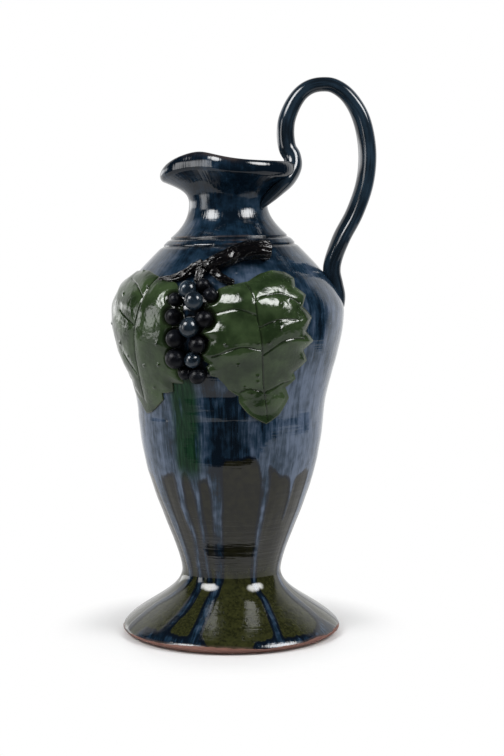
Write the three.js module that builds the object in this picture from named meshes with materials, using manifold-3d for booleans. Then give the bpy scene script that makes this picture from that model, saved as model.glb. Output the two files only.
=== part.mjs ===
// A thrown stoneware pitcher: pedestal foot, belly and pinched neck, a pulled loop handle,
// and an applied spray of vine with a branch, stalks, two leaves and a bunch of grapes.
// Millimetres, +Z up. The origin is the centre of the base, the spout points to -X,
// the handle to +X and the vine to -Y.

import * as THREE from "three";
import { ParametricGeometry } from "three/addons/geometries/ParametricGeometry.js";
import { mergeVertices } from "three/addons/utils/BufferGeometryUtils.js";
import Module from "manifold-3d";

const wasm = await Module();
wasm.setup();

// Fits
const CLEARANCE = 0.3;

// Foot, from the base up to the waist
const BASE_RADIUS = 70;
const FOOT_RADIUS = 75;
const FOOT_BEVEL = 3.5;
const FOOT_EDGE = 5;
const FOOT_RISE = 37;
const FOOT_FLOOR = 9;
const FOOT_WELL_RADIUS = 46;

// Belly, from the waist over its straight middle and widest ring to the neck's root
const WAIST_RADIUS = 34;
const LOWER_RISE = 108;
const MIDDLE_RADIUS = 63.8;
const UPPER_RISE = 71;
const BELLY_RADIUS = 77.4;
const SHOULDER_RISE = 50;
const NECK_ROOT_RADIUS = 41;
const BELLY_WALL = 6.5;

// Two incised shoulder lines: one along the joint of belly and neck, one below it
const GROOVE_WIDTH = 2.4;
const GROOVE_DEPTH = 1.2;
const GROOVE_PITCH = 5;

// Neck, mouth and rolled lip
const COLLAR_RISE = 23;
const THROAT_RADIUS = 26.7;
const NECK_WALL = 5;
const NECK_LEAN = 1.8;
const MOUTH_RISE = 18;
const LIP_RADIUS = 44.5;
const LIP_HEIGHT = 10;
const LIP_BULGE = 2;
const LIP_THICKNESS = 6;
const BOWL_RISE = 22;

// Spout: how far the lip is bent down at its tip, and pinched in and raised beside it
const SPOUT_DROP = 5;
const SPOUT_SPREAD = 24;
const PINCH_DEPTH = 8;
const PINCH_ANGLE = 54;
const PINCH_SPREAD = 26;
const HUMP_RISE = 6;
const HUMP_ANGLE = 57;
const HUMP_SPREAD = 32;

// Handle: oval section, its depth in the plane of the loop and its breadth across it
const HANDLE_DEPTH = 13;
const HANDLE_BREADTH = 15;
const HANDLE_ROOT_TAPER = 0.45;
const HANDLE_CROWN_TAPER = 0.8;
const HANDLE_CROWN_AT = 0.38;
const HANDLE_CROWN_SPREAD = 0.1;

// Handle route: [out, up] from the top of the rim's back, then from its seat on the shoulder
const HANDLE_FROM_RIM = [
  [-12.7, -20], [-7.2, -15], [-3, -9], [-1.6, -2.5], [-3.2, 4], [-6, 9], [-7.3, 15.5], [-7.5, 22.5],
  [-6.3, 30], [-2.4, 39.2], [2.8, 46.4], [9.3, 50.8], [17, 52.4], [25.3, 51.3], [34.3, 45], [41.8, 33.8],
  [46.3, 20], [48.1, 3],
];
const HANDLE_SEAT_ABOVE_BELLY = 19;
const HANDLE_FROM_SEAT = [
  [21, 66.7], [14.5, 47.8], [6, 31.5], [0.5, 17], [-0.8, 8], [1, -1], [2.5, -9], [1.5, -18],
];

// Vine: places are [across, drop, lift], measured along the wall from the front of the
// shoulder line, across to the right, down the wall, and out from it
const BRANCH_RADIUS = 7.2;
const BRANCH_END_TAPER = 0.62;
const BRANCH_PLACES = [
  [23.6, 17.3, 6.4], [16.5, 16.8, 6.4], [9.8, 17.3, 6.2], [3.2, 19.9, 6], [-1.9, 23.3, 5.6],
  [-10.2, 27.1, 5], [-16.1, 31.1, 4.6],
];
const STALK_RADIUS = 3.4;
const STALK_END_TAPER = 0.65;
const LEFT_STALK_PLACES = [
  [-15.3, 26.5, 4.6], [-21.3, 29.4, 3.8], [-26.8, 32.8, 3.2], [-31.4, 35.6, 2.8], [-40.9, 38.6, 2.4],
  [-49.7, 38.2, 2.4],
];
const RIGHT_STALK_PLACES = [[-11, 32, 4], [-5.4, 36.8, 3.2], [-0.9, 39.7, 3], [3.1, 41.5, 3]];
const BUNCH_STALK_PLACES = [[-16.6, 31, 4], [-19, 35.3, 3.2], [-20.9, 41, 2.8]];

// Grapes: [across, drop, lift, radius]. The first few lie on top of the leaves, the last under them
const FRONT_GRAPES = [
  [-21, 55, 8.2, 6.2],
  [-24.5, 69, 5.4, 6.7],
  [-26, 47, 4.6, 6],
  [-23, 90, 4.4, 5.3],
];
const LEFT_GRAPES = [
  [-34, 89.5, 5, 6.7],
  [-34.5, 76.5, 4.6, 6],
  [-35, 53, 3, 4.5],
  [-36, 63, 3.6, 5.4],
];
const HIDDEN_GRAPES = [
  [-16.5, 43, 3, 4.6],
  [-12, 49.5, 3, 4.6],
  [-15.5, 64, 4, 5.5],
  [-20, 80, 4.4, 5.6],
  [-20, 101, 4, 5.5],
  [-28.5, 99.5, 3, 4.6],
];

// Leaves: outlines as [across, along], from the stalk down the right edge to the tip and back
const LEAF_EDGE = 3.2;
const LEAF_CROWN = 3;
const MIDRIB_DEPTH = 1.2;
const MIDRIB_WIDTH = 5;
const LEAF_HEART = 44;
const RIGHT_LEAF_PLACE = [7.5, 39.5];
const RIGHT_LEAF_LEAN = 11;
const RIGHT_LEAF_OUTLINE = [
  [4, 1], [12, -3.5], [21, -5], [30, -1.5], [36, 5], [35, 11.5], [42, 19], [37.5, 25.5], [43.5, 33.5],
  [37, 41], [43, 49], [33.5, 53], [36, 61.5], [24, 67], [25, 72], [16, 76], [17.5, 84], [8, 93.5],
  [-2, 97.5], [-12, 89], [-17, 79.5], [-16.5, 75], [-24, 66.5], [-27, 59.5], [-37, 54], [-30, 49],
  [-38, 42], [-26.5, 33.5], [-33, 28.5], [-22, 21], [-27.5, 12.5], [-25, 8], [-20, 4], [-12, 2], [-4, 1.5],
];
const LEFT_LEAF_PLACE = [-49.5, 36];
const LEFT_LEAF_LEAN = -11;
const LEFT_LEAF_OUTLINE = [
  [4, 1], [15, 2], [21.5, 13], [23, 19.5], [27, 27], [21, 34], [23.5, 45], [27, 58], [32.5, 67],
  [24, 68.5], [25.5, 74.5], [16.5, 78], [18, 82.5], [7.5, 94], [1, 97], [-7, 92.5], [-20, 87], [-24, 80],
  [-36, 78], [-46, 71], [-53, 66], [-53, 57], [-60, 49], [-56, 40], [-61, 31], [-54, 22], [-53, 14],
  [-40, 8], [-31, 2.5], [-23, 0.5], [-12, -2], [-5, -0.5],
];

// Fineness of the surfaces
const TURNS = 40;
const OUTER_STEPS = 7;
const INNER_STEPS = 4;
const LIP_STEPS = 6;
const HANDLE_SIDES = 10;
const HANDLE_STEPS = 44;
const STEM_SIDES = 8;
const STEM_STEPS = 9;
const GRAPE_SIDES = 10;
const GRAPE_RINGS = 8;

// Heights that follow from the rises
const WAIST_Z = FOOT_EDGE + FOOT_RISE;
const MIDDLE_Z = WAIST_Z + LOWER_RISE;
const BELLY_Z = MIDDLE_Z + UPPER_RISE;
const NECK_ROOT_Z = BELLY_Z + SHOULDER_RISE;
const THROAT_Z = NECK_ROOT_Z + COLLAR_RISE;
const LIP_Z = THROAT_Z + MOUTH_RISE;
const RIM_Z = LIP_Z + LIP_HEIGHT;

const vec2 = (radius, height) => new THREE.Vector2(radius, height);
const clamp01 = (value) => Math.min(1, Math.max(0, value));
const smooth = (value) => clamp01(value) ** 2 * (3 - 2 * clamp01(value));
const bell = (distance, spread) => Math.exp(-((distance / spread) ** 2));

// One stretch of wall between two rings, as a cubic curve. lead and follow place its two
// handles as shares of the stretch's change in radius and in height.
function stretch(from, to, lead, follow) {
  const run = to.clone().sub(from);
  const first = vec2(from.x + lead[0] * run.x, from.y + lead[1] * run.y);
  const second = vec2(to.x - follow[0] * run.x, to.y - follow[1] * run.y);
  return new THREE.CubicBezierCurve(from, first, second, to);
}

const FOOT_RING = vec2(FOOT_RADIUS, FOOT_EDGE);
const WAIST_RING = vec2(WAIST_RADIUS, WAIST_Z);
const MIDDLE_RING = vec2(MIDDLE_RADIUS, MIDDLE_Z);
const BELLY_RING = vec2(BELLY_RADIUS, BELLY_Z);
const NECK_ROOT_RING = vec2(NECK_ROOT_RADIUS, NECK_ROOT_Z);
const THROAT_RING = vec2(THROAT_RADIUS, THROAT_Z);
const LIP_RING = vec2(LIP_RADIUS, LIP_Z);

const FOOT_WALL = stretch(FOOT_RING, WAIST_RING, [0.366, 0.4], [0.04, 0.42]);
const LOWER_WALL = stretch(WAIST_RING, MIDDLE_RING, [0, 0.167], [0.128, 0.49]);
const UPPER_WALL = stretch(MIDDLE_RING, BELLY_RING, [0.05, 0.31], [0, 0.35]);
const SHOULDER_WALL = stretch(BELLY_RING, NECK_ROOT_RING, [0, 0.32], [0.467, 0.36]);
const COLLAR_WALL = stretch(NECK_ROOT_RING, THROAT_RING, [0.42, 0.217], [0, 0.435]);
const MOUTH_WALL = stretch(THROAT_RING, LIP_RING, [0, 0.5], [0.31, 0.556]);
const WALLS = [FOOT_WALL, LOWER_WALL, UPPER_WALL, SHOULDER_WALL, COLLAR_WALL];

// Radius of the outer wall at a height, found by halving along the stretch that holds it
function wallRadius(height) {
  const wall = WALLS.find((curve) => height <= curve.v3.y) ?? COLLAR_WALL;
  let low = 0;
  let high = 1;
  for (let i = 0; i < 40; i += 1) {
    const middle = (low + high) / 2;
    if (wall.getPoint(middle).y < height) {
      low = middle;
    } else {
      high = middle;
    }
  }
  return wall.getPoint(low).x;
}

// Slope of the wall: change of radius for each millimetre of height
function wallSlope(height) {
  const step = 0.2;
  return (wallRadius(height + step) - wallRadius(height - step)) / (2 * step);
}

// Height reached by going a distance down the wall from the shoulder line
const DROP_STEP = 0.5;
const dropHeights = [NECK_ROOT_Z];
while (dropHeights.at(-1) > WAIST_Z) {
  const height = dropHeights.at(-1);
  dropHeights.push(height - DROP_STEP / Math.hypot(1, wallSlope(height)));
}
function heightAtDrop(drop) {
  const index = Math.min(Math.max(drop / DROP_STEP, 0), dropHeights.length - 1.001);
  const low = Math.floor(index);
  return THREE.MathUtils.lerp(dropHeights[low], dropHeights[low + 1], index - low);
}

// Point on the vine's map of the wall: across to the right, down the wall and out from it
function onWall([across, drop, lift]) {
  const height = heightAtDrop(drop);
  const radius = wallRadius(height);
  const slope = wallSlope(height);
  const out = lift / Math.hypot(1, slope);
  const angle = across / radius;
  const reach = radius + out;
  return new THREE.Vector3(reach * Math.sin(angle), -reach * Math.cos(angle), height - out * slope);
}

// Closed solid from a geometry, with shared corners merged and collapsed triangles dropped
function solid(geometry) {
  const bare = new THREE.BufferGeometry();
  bare.setAttribute("position", geometry.getAttribute("position"));
  bare.setIndex(geometry.getIndex());
  const merged = mergeVertices(bare, 1e-4);
  const corners = merged.getIndex().array;
  const kept = [];
  for (let i = 0; i < corners.length; i += 3) {
    const [a, b, c] = [corners[i], corners[i + 1], corners[i + 2]];
    if (a !== b && b !== c && c !== a) {
      kept.push(a, b, c);
    }
  }
  const vertProperties = new Float32Array(merged.getAttribute("position").array);
  const build = (triVerts) => new wasm.Manifold(new wasm.Mesh({ numProp: 3, vertProperties, triVerts }));
  const body = build(new Uint32Array(kept));
  return body.volume() > 0 ? body : build(new Uint32Array(kept).reverse());
}

// Named mesh of a solid
function piece(name, body, color, roughness) {
  const { vertProperties, triVerts } = body.getMesh();
  const geometry = new THREE.BufferGeometry();
  geometry.setAttribute("position", new THREE.BufferAttribute(new Float32Array(vertProperties), 3));
  geometry.setIndex(new THREE.BufferAttribute(new Uint32Array(triVerts), 1));
  geometry.computeVertexNormals();
  const mesh = new THREE.Mesh(geometry, new THREE.MeshStandardMaterial({ color, roughness, metalness: 0 }));
  mesh.name = name;
  return mesh;
}

// Turned solid from a profile of [radius, height] points
function turned(profile) {
  return new THREE.LatheGeometry(profile, TURNS).rotateX(Math.PI / 2);
}

// Profile points with an incised line cut at a height
function grooved(points, height) {
  const low = height - GROOVE_WIDTH / 2;
  const high = height + GROOVE_WIDTH / 2;
  return [
    ...points.filter((point) => point.y < low),
    vec2(wallRadius(low), low),
    vec2(wallRadius(height) - GROOVE_DEPTH, height),
    vec2(wallRadius(high), high),
    ...points.filter((point) => point.y > high),
  ];
}

// Points along several stretches of wall, each shared ring once
function along(walls, steps) {
  return walls.flatMap((wall, i) => wall.getPoints(steps).slice(i > 0 ? 1 : 0));
}

// Foot: floor, bevelled edge and flared wall, hollow above the floor
function pedestalFoot() {
  const waist = vec2(WAIST_RADIUS - BELLY_WALL, WAIST_Z);
  const well = stretch(vec2(FOOT_WELL_RADIUS, FOOT_FLOOR), waist, [0.5, 0.3], [0, 0.4]);
  return turned([
    vec2(0, 0),
    vec2(BASE_RADIUS, 0),
    vec2(FOOT_RADIUS, FOOT_BEVEL),
    ...FOOT_WALL.getPoints(OUTER_STEPS),
    ...well.getPoints(INNER_STEPS).reverse(),
    vec2(0, FOOT_FLOOR),
  ]);
}

// Belly: open shell from the waist to the neck's root, its top edge bevelled for the groove
const BELLY_WALLS = [LOWER_WALL, UPPER_WALL, SHOULDER_WALL];
const bellyOutside = along(BELLY_WALLS, OUTER_STEPS);
function belly() {
  const half = GROOVE_WIDTH / 2;
  const outer = grooved(bellyOutside, NECK_ROOT_Z - GROOVE_PITCH);
  const shoulder = outer.filter((point) => point.y < NECK_ROOT_Z - half);
  const bevel = [
    vec2(wallRadius(NECK_ROOT_Z - half), NECK_ROOT_Z - half),
    vec2(NECK_ROOT_RADIUS - GROOVE_DEPTH, NECK_ROOT_Z),
  ];
  const inner = along(BELLY_WALLS, INNER_STEPS).map((point) => vec2(point.x - BELLY_WALL, point.y));
  return turned([...shoulder, ...bevel, ...inner.reverse(), shoulder[0]]);
}

// Draws the mouth into its spout: the lip goes down at the tip, in and up beside it
function pour(geometry) {
  const position = geometry.getAttribute("position");
  for (let i = 0; i < position.count; i += 1) {
    const [x, y, z] = [position.getX(i), position.getY(i), position.getZ(i)];
    const share = smooth((z - THROAT_Z) / (RIM_Z - THROAT_Z));
    const lean = NECK_LEAN * smooth((z - NECK_ROOT_Z) / COLLAR_RISE);
    const turn = Math.abs(THREE.MathUtils.radToDeg(Math.atan2(y, -x)));
    const reach = -PINCH_DEPTH * bell(turn - PINCH_ANGLE, PINCH_SPREAD);
    const rise = HUMP_RISE * bell(turn - HUMP_ANGLE, HUMP_SPREAD) - SPOUT_DROP * bell(turn, SPOUT_SPREAD);
    const radius = Math.hypot(x, y);
    const grown = radius > 0 ? (radius + share * reach * clamp01(radius / THROAT_RADIUS)) / radius : 1;
    position.setXYZ(i, x * grown - lean, y * grown, z + share * rise);
  }
  return geometry;
}

// Outer side of the neck and the round of its lip, moved out by an allowance
function neckWall(grow) {
  const bulge = vec2(LIP_RADIUS + LIP_BULGE - LIP_THICKNESS / 2, LIP_Z + LIP_HEIGHT / 2);
  const lip = new THREE.EllipseCurve(
    bulge.x, bulge.y, LIP_THICKNESS / 2 + grow, LIP_HEIGHT / 2 + grow, -Math.PI / 3, Math.PI * 0.75,
  );
  const wall = along([COLLAR_WALL, MOUTH_WALL], OUTER_STEPS).slice(0, -1);
  return [...wall.map((point) => vec2(point.x + grow, point.y)), ...lip.getPoints(LIP_STEPS)];
}

// Neck: collar, throat and mouth, with the bevel that closes the joint's incised line
function neck() {
  const half = GROOVE_WIDTH / 2;
  const outer = neckWall(0).filter((point) => point.y > NECK_ROOT_Z + half);
  const bevel = [
    vec2(NECK_ROOT_RADIUS - GROOVE_DEPTH, NECK_ROOT_Z),
    vec2(wallRadius(NECK_ROOT_Z + half), NECK_ROOT_Z + half),
  ];
  const lipInside = vec2(LIP_RADIUS + LIP_BULGE - LIP_THICKNESS, THROAT_Z + BOWL_RISE);
  const throatInside = vec2(THROAT_RADIUS - NECK_WALL, THROAT_Z);
  const bowl = stretch(throatInside, lipInside, [0, 0.62], [0.25, 0.42]).getPoints(OUTER_STEPS).reverse();
  const root = vec2(NECK_ROOT_RADIUS - BELLY_WALL, NECK_ROOT_Z);
  const collar = stretch(root, throatInside, [0.42, 0.217], [0, 0.435]).getPoints(INNER_STEPS).reverse();
  return pour(turned([...bevel, ...outer, ...bowl, ...collar.slice(1), bevel[0]]));
}

// Filled form of the pot, grown by the clearance, that everything pressed onto it is cut by
function potForm() {
  const grow = (point) => {
    const slope = wallSlope(point.y);
    const out = CLEARANCE / Math.hypot(1, slope);
    return vec2(point.x + out, point.y - out * slope);
  };
  const wall = bellyOutside.slice(0, -1).map(grow);
  const body = turned([vec2(0, WAIST_Z), ...wall, grow(NECK_ROOT_RING), vec2(0, NECK_ROOT_Z)]);
  const mouth = neckWall(CLEARANCE);
  const top = mouth.at(-1).y;
  const cup = pour(turned([vec2(0, NECK_ROOT_Z), ...mouth, vec2(0, top)]));
  return solid(body).add(solid(cup));
}

// Tube along a curve with a radius that changes along its length
function tube(curve, section, steps, taper) {
  const geometry = new THREE.ExtrudeGeometry(section, { steps, extrudePath: curve, bevelEnabled: false });
  const centres = curve.getSpacedPoints(steps);
  const position = geometry.getAttribute("position");
  const corner = new THREE.Vector3();
  for (let i = 0; i < position.count; i += 1) {
    corner.fromBufferAttribute(position, i);
    const distances = centres.map((centre) => centre.distanceToSquared(corner));
    const nearest = distances.indexOf(Math.min(...distances));
    corner.sub(centres[nearest]).multiplyScalar(taper(nearest / steps)).add(centres[nearest]);
    position.setXYZ(i, corner.x, corner.y, corner.z);
  }
  return geometry;
}

// Oval section with its corners as a polygon
function oval(across, along, sides) {
  const corner = (_, i) => {
    const turn = (2 * Math.PI * i) / sides;
    return vec2((across / 2) * Math.cos(turn), (along / 2) * Math.sin(turn));
  };
  return new THREE.Shape(Array.from({ length: sides }, corner));
}

// Handle: from under the back of the rim, up and round its crown, down to the shoulder
function handle() {
  const rimBack = LIP_RADIUS + LIP_BULGE - NECK_LEAN;
  const seatHeight = BELLY_Z + HANDLE_SEAT_ABOVE_BELLY;
  const seatRadius = wallRadius(seatHeight);
  const fromRim = ([out, up]) => new THREE.Vector3(rimBack + out, 0, RIM_Z + up);
  const fromSeat = ([out, up]) => new THREE.Vector3(seatRadius + out, 0, seatHeight + up);
  const route = [...HANDLE_FROM_RIM.map(fromRim), ...HANDLE_FROM_SEAT.map(fromSeat)];
  const curve = new THREE.CatmullRomCurve3(route);
  const rootLength = 0.12;
  const taper = (along) => {
    const root = HANDLE_ROOT_TAPER + (1 - HANDLE_ROOT_TAPER) * smooth(along / rootLength);
    return root * (1 - (1 - HANDLE_CROWN_TAPER) * bell(along - HANDLE_CROWN_AT, HANDLE_CROWN_SPREAD));
  };
  const section = oval(HANDLE_BREADTH, HANDLE_DEPTH, HANDLE_SIDES);
  return tube(curve, section, HANDLE_STEPS, taper);
}

// Round stem through places on the wall
function stem(places, radius, endTaper) {
  const curve = new THREE.CatmullRomCurve3(places.map(onWall));
  const section = oval(2 * radius, 2 * radius, STEM_SIDES);
  return tube(curve, section, STEM_STEPS, (along) => 1 - (1 - endTaper) * along);
}

// Grape: a ball of clay on the wall
function grape([across, drop, lift, radius], grow) {
  const centre = onWall([across, drop, lift]);
  const ball = new THREE.SphereGeometry(radius + grow, GRAPE_SIDES, GRAPE_RINGS);
  return ball.translate(centre.x, centre.y, centre.z);
}

// Leaf: a toothed slab on the wall, crowned in the middle, with a furrow along its midrib.
// Rings shrink from the outline to the heart on the upper face, and again on the lower one.
const LEAF_RINGS = [[0, 1], [0.4, 1], [0.72, 1], [0.92, 1], [1, 0.72], [1, 0], [0.6, 0], [0, 0]];
const LEAF_SINK = 1.5;
function leaf(place, lean, outline, grow) {
  const tilt = THREE.MathUtils.degToRad(lean);
  const slices = 2 * outline.length;
  const point = (u, v, target) => {
    const edge = u * outline.length;
    const from = outline[Math.floor(edge) % outline.length];
    const to = outline[(Math.floor(edge) + 1) % outline.length];
    const [share, level] = LEAF_RINGS[Math.round(v * (LEAF_RINGS.length - 1))];
    const across = THREE.MathUtils.lerp(from[0], to[0], edge % 1);
    const along = THREE.MathUtils.lerp(from[1], to[1], edge % 1) - LEAF_HEART;
    const widen = share * (1 + grow / Math.hypot(across, along));
    const [x, y] = [across * widen, LEAF_HEART + along * widen];
    const crown = LEAF_EDGE + LEAF_CROWN * (1 - share ** 6) - MIDRIB_DEPTH * bell(x, MIDRIB_WIDTH);
    const lift = THREE.MathUtils.lerp(-LEAF_SINK, crown + grow, level);
    const right = x * Math.cos(tilt) + y * Math.sin(tilt);
    const down = y * Math.cos(tilt) - x * Math.sin(tilt);
    target.copy(onWall([place[0] + right, place[1] + down, lift]));
  };
  return new ParametricGeometry(point, slices, LEAF_RINGS.length - 1);
}

const NAVY = 0x10161f;
const OLIVE = 0x1b1d14;
const LEAF_GREEN = 0x2c3d1d;
const GRAPE_BLUE = 0x131920;
const BARK = 0x1a1715;

// Pressed-on pieces in order of depth: each is cut by the pot and by those before it
const stemPiece = (name, places, radius, taper) => ({
  name,
  make: (grow) => stem(places, radius + grow, taper),
  color: BARK,
});
const leafPiece = (name, place, lean, outline) => ({
  name,
  make: (grow) => leaf(place, lean, outline, grow),
  color: LEAF_GREEN,
});
let grapeCount = 0;
const grapePiece = (spec) => {
  grapeCount += 1;
  const name = `grape_${String(grapeCount).padStart(2, "0")}`;
  return { name, make: (grow) => grape(spec, grow), color: GRAPE_BLUE };
};
const spray = [
  stemPiece("vine_branch", BRANCH_PLACES, BRANCH_RADIUS, BRANCH_END_TAPER),
  stemPiece("left_leaf_stalk", LEFT_STALK_PLACES, STALK_RADIUS, STALK_END_TAPER),
  stemPiece("right_leaf_stalk", RIGHT_STALK_PLACES, STALK_RADIUS, STALK_END_TAPER),
  stemPiece("bunch_stalk", BUNCH_STALK_PLACES, STALK_RADIUS, STALK_END_TAPER),
  ...FRONT_GRAPES.map(grapePiece),
  leafPiece("right_leaf", RIGHT_LEAF_PLACE, RIGHT_LEAF_LEAN, RIGHT_LEAF_OUTLINE),
  ...LEFT_GRAPES.map(grapePiece),
  leafPiece("left_leaf", LEFT_LEAF_PLACE, LEFT_LEAF_LEAN, LEFT_LEAF_OUTLINE),
  ...HIDDEN_GRAPES.map(grapePiece),
];

const pitcher = new THREE.Group();
const GLAZE_GLOSS = 0.12;
pitcher.add(piece("pedestal_foot", solid(pedestalFoot()), OLIVE, GLAZE_GLOSS));
pitcher.add(piece("belly", solid(belly()), NAVY, GLAZE_GLOSS));
pitcher.add(piece("neck", solid(neck()), NAVY, GLAZE_GLOSS));

const pot = potForm();
pitcher.add(piece("handle", solid(handle()).subtract(pot), NAVY, GLAZE_GLOSS));

let taken = pot;
for (const { name, make, color } of spray) {
  pitcher.add(piece(name, solid(make(0)).subtract(taken), color, GLAZE_GLOSS));
  taken = taken.add(solid(make(CLEARANCE)));
}

export default pitcher;
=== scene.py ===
# %% [markdown]
# # A thrown pitcher with a vine pressed onto it
# This lesson dresses a stoneware pitcher: a flared foot, a tall belly and a pinched mouth that were
# thrown on the wheel, a pulled handle, and a spray of vine in clay. Every shape is a sheet of points
# worked out with numpy, and every finish is a glaze wired up from shader nodes. The construction model
# is loaded first and stays as the fixed frame, so each piece is made where that model has it.

import bmesh
import bpy
import numpy as np
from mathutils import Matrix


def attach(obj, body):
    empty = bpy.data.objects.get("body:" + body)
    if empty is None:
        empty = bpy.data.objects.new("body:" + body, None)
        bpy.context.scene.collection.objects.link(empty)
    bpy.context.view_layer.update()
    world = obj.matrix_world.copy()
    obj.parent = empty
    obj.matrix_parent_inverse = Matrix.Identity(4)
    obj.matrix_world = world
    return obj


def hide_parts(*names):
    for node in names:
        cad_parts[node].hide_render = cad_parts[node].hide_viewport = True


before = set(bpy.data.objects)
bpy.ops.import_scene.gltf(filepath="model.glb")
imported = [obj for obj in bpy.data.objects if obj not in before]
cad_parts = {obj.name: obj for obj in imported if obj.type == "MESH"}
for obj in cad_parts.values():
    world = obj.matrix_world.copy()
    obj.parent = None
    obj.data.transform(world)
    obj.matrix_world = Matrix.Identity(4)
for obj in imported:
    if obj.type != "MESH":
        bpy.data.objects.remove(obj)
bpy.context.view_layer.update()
scene = bpy.context.scene

# %% [markdown]
# ## The wall of the pot
# A thrown pot is a profile turned round an axis. The profile could be traced as hundreds of points, but
# six cubic curves between named rings say the same with a few numbers, and they stay smooth at any
# fineness. Sizes are in millimetres, with the front of the pot towards -Y and the spout towards -X.

# %% Rings and curves of the wall
MM = 0.001
WAIST_Z = 42
BELLY_Z = 221
NECK_ROOT_Z = 271
THROAT_Z = 294
LIP_Z = 312
RIM_Z = 322

FOOT_RING = (75, 5)
WAIST_RING = (34, WAIST_Z)
MIDDLE_RING = (63.8, 150)
BELLY_RING = (77.4, BELLY_Z)
NECK_ROOT_RING = (41, NECK_ROOT_Z)
THROAT_RING = (26.7, THROAT_Z)
LIP_RING = (44.5, LIP_Z)

FOOT_WALL = (FOOT_RING, WAIST_RING, (0.366, 0.4), (0.04, 0.42))
LOWER_WALL = (WAIST_RING, MIDDLE_RING, (0, 0.167), (0.128, 0.49))
UPPER_WALL = (MIDDLE_RING, BELLY_RING, (0.05, 0.31), (0, 0.35))
SHOULDER_WALL = (BELLY_RING, NECK_ROOT_RING, (0, 0.32), (0.467, 0.36))
COLLAR_WALL = (NECK_ROOT_RING, THROAT_RING, (0.42, 0.217), (0, 0.435))
MOUTH_WALL = (THROAT_RING, LIP_RING, (0, 0.5), (0.31, 0.556))
OUTSIDE = (FOOT_WALL, LOWER_WALL, UPPER_WALL, SHOULDER_WALL, COLLAR_WALL, MOUTH_WALL)
PROFILE_STEPS = 300


def eased(count):
    """Shares from 0 to 1 that crowd towards both ends: each share less most of one turn of a sine."""
    share = np.linspace(0, 1, count)
    return share - 0.85 * np.sin(2 * np.pi * share) / (2 * np.pi)


def stretch(wall, share):
    """Cubic curve between two rings, as [radius, height] rows at the given shares of the curve.

    Its two handles lie at shares of the change in radius and height, so the curve keeps its character
    when a ring moves: (1-t)^3 start + 3(1-t)^2 t first + 3(1-t) t^2 second + t^3 end.
    """
    start, end, lead, follow = (np.array(part, float) for part in wall)
    first = start + lead * (end - start)
    second = end - follow * (end - start)
    t = np.asarray(share)[:, None]
    return (1 - t) ** 3 * start + 3 * (1 - t) ** 2 * t * first + 3 * (1 - t) * t ** 2 * second + t ** 3 * end


profile = np.vstack([stretch(wall, np.linspace(0, 1, PROFILE_STEPS)) for wall in OUTSIDE])
profile_run = np.append(0, np.cumsum(np.hypot(*np.diff(profile, axis=0).T)))
profile_slope = np.gradient(profile[:, 0]) / np.maximum(np.gradient(profile[:, 1]), 1e-9)
print("wall:", len(OUTSIDE), "curves,", round(profile_run[-1]), "mm from the foot's edge to the lip")

# %% Reading the wall
def wall_radius(height):
    """Radius of the outer wall at a height."""
    return np.interp(height, profile[:, 1], profile[:, 0])


def wall_run(height):
    """Length of wall from the foot's edge up to a height."""
    return np.interp(height, profile[:, 1], profile_run)


def wall_slope(height):
    """Change of radius for each millimetre of height."""
    return np.interp(height, profile[:, 1], profile_slope)


def round_axis(radius, turn, height):
    """Points at a radius, an angle round from the front and a height."""
    return np.stack([radius * np.sin(turn), -radius * np.cos(turn), height], -1)


def full_turn(count):
    """Angles round a ring, as one row."""
    return np.linspace(0, 2 * np.pi, count, endpoint=False)[None]


def on_wall(across, drop, lift):
    """Points of the vine's map of the wall: across to the right of the front, down the wall from the
    shoulder line, and out from it along its normal."""
    height = np.interp(wall_run(NECK_ROOT_Z) - drop, profile_run, profile[:, 1])
    slope = wall_slope(height)
    out = lift / np.hypot(1, slope)
    return round_axis(wall_radius(height) + out, across / wall_radius(height), height - out * slope)


def degrees_round(points):
    """Angle round the pot from its front, positive to the right."""
    return np.degrees(np.arctan2(points[..., 0], -points[..., 1]))


print("widest radius", wall_radius(BELLY_Z), "mm, slope at the waist", round(float(wall_slope(WAIST_Z)), 3))

# %% [markdown]
# ## From numbers to a mesh
# Every piece here is a grid of points whose columns close into rings: a turned wall, a tube, a ball or
# a leaf drawn from its heart outwards. One helper joins the grid into four-cornered faces, merges the
# points where a ring shrinks to nothing, and turns the faces outwards. It also keeps numbers on the
# points, such as how deep a point lies in a run of glaze, for the finish to read. Relief and glaze are
# then described with a few soft functions: humps, eased steps and uneven waves.

# %% Mesh helper
SHARP_ANGLE = 45
MERGE_DISTANCE = 1e-7


def placed(name, data):
    """New object in the scene, at the origin."""
    made = bpy.data.objects.new(name, data)
    scene.collection.objects.link(made)
    return made


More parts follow.
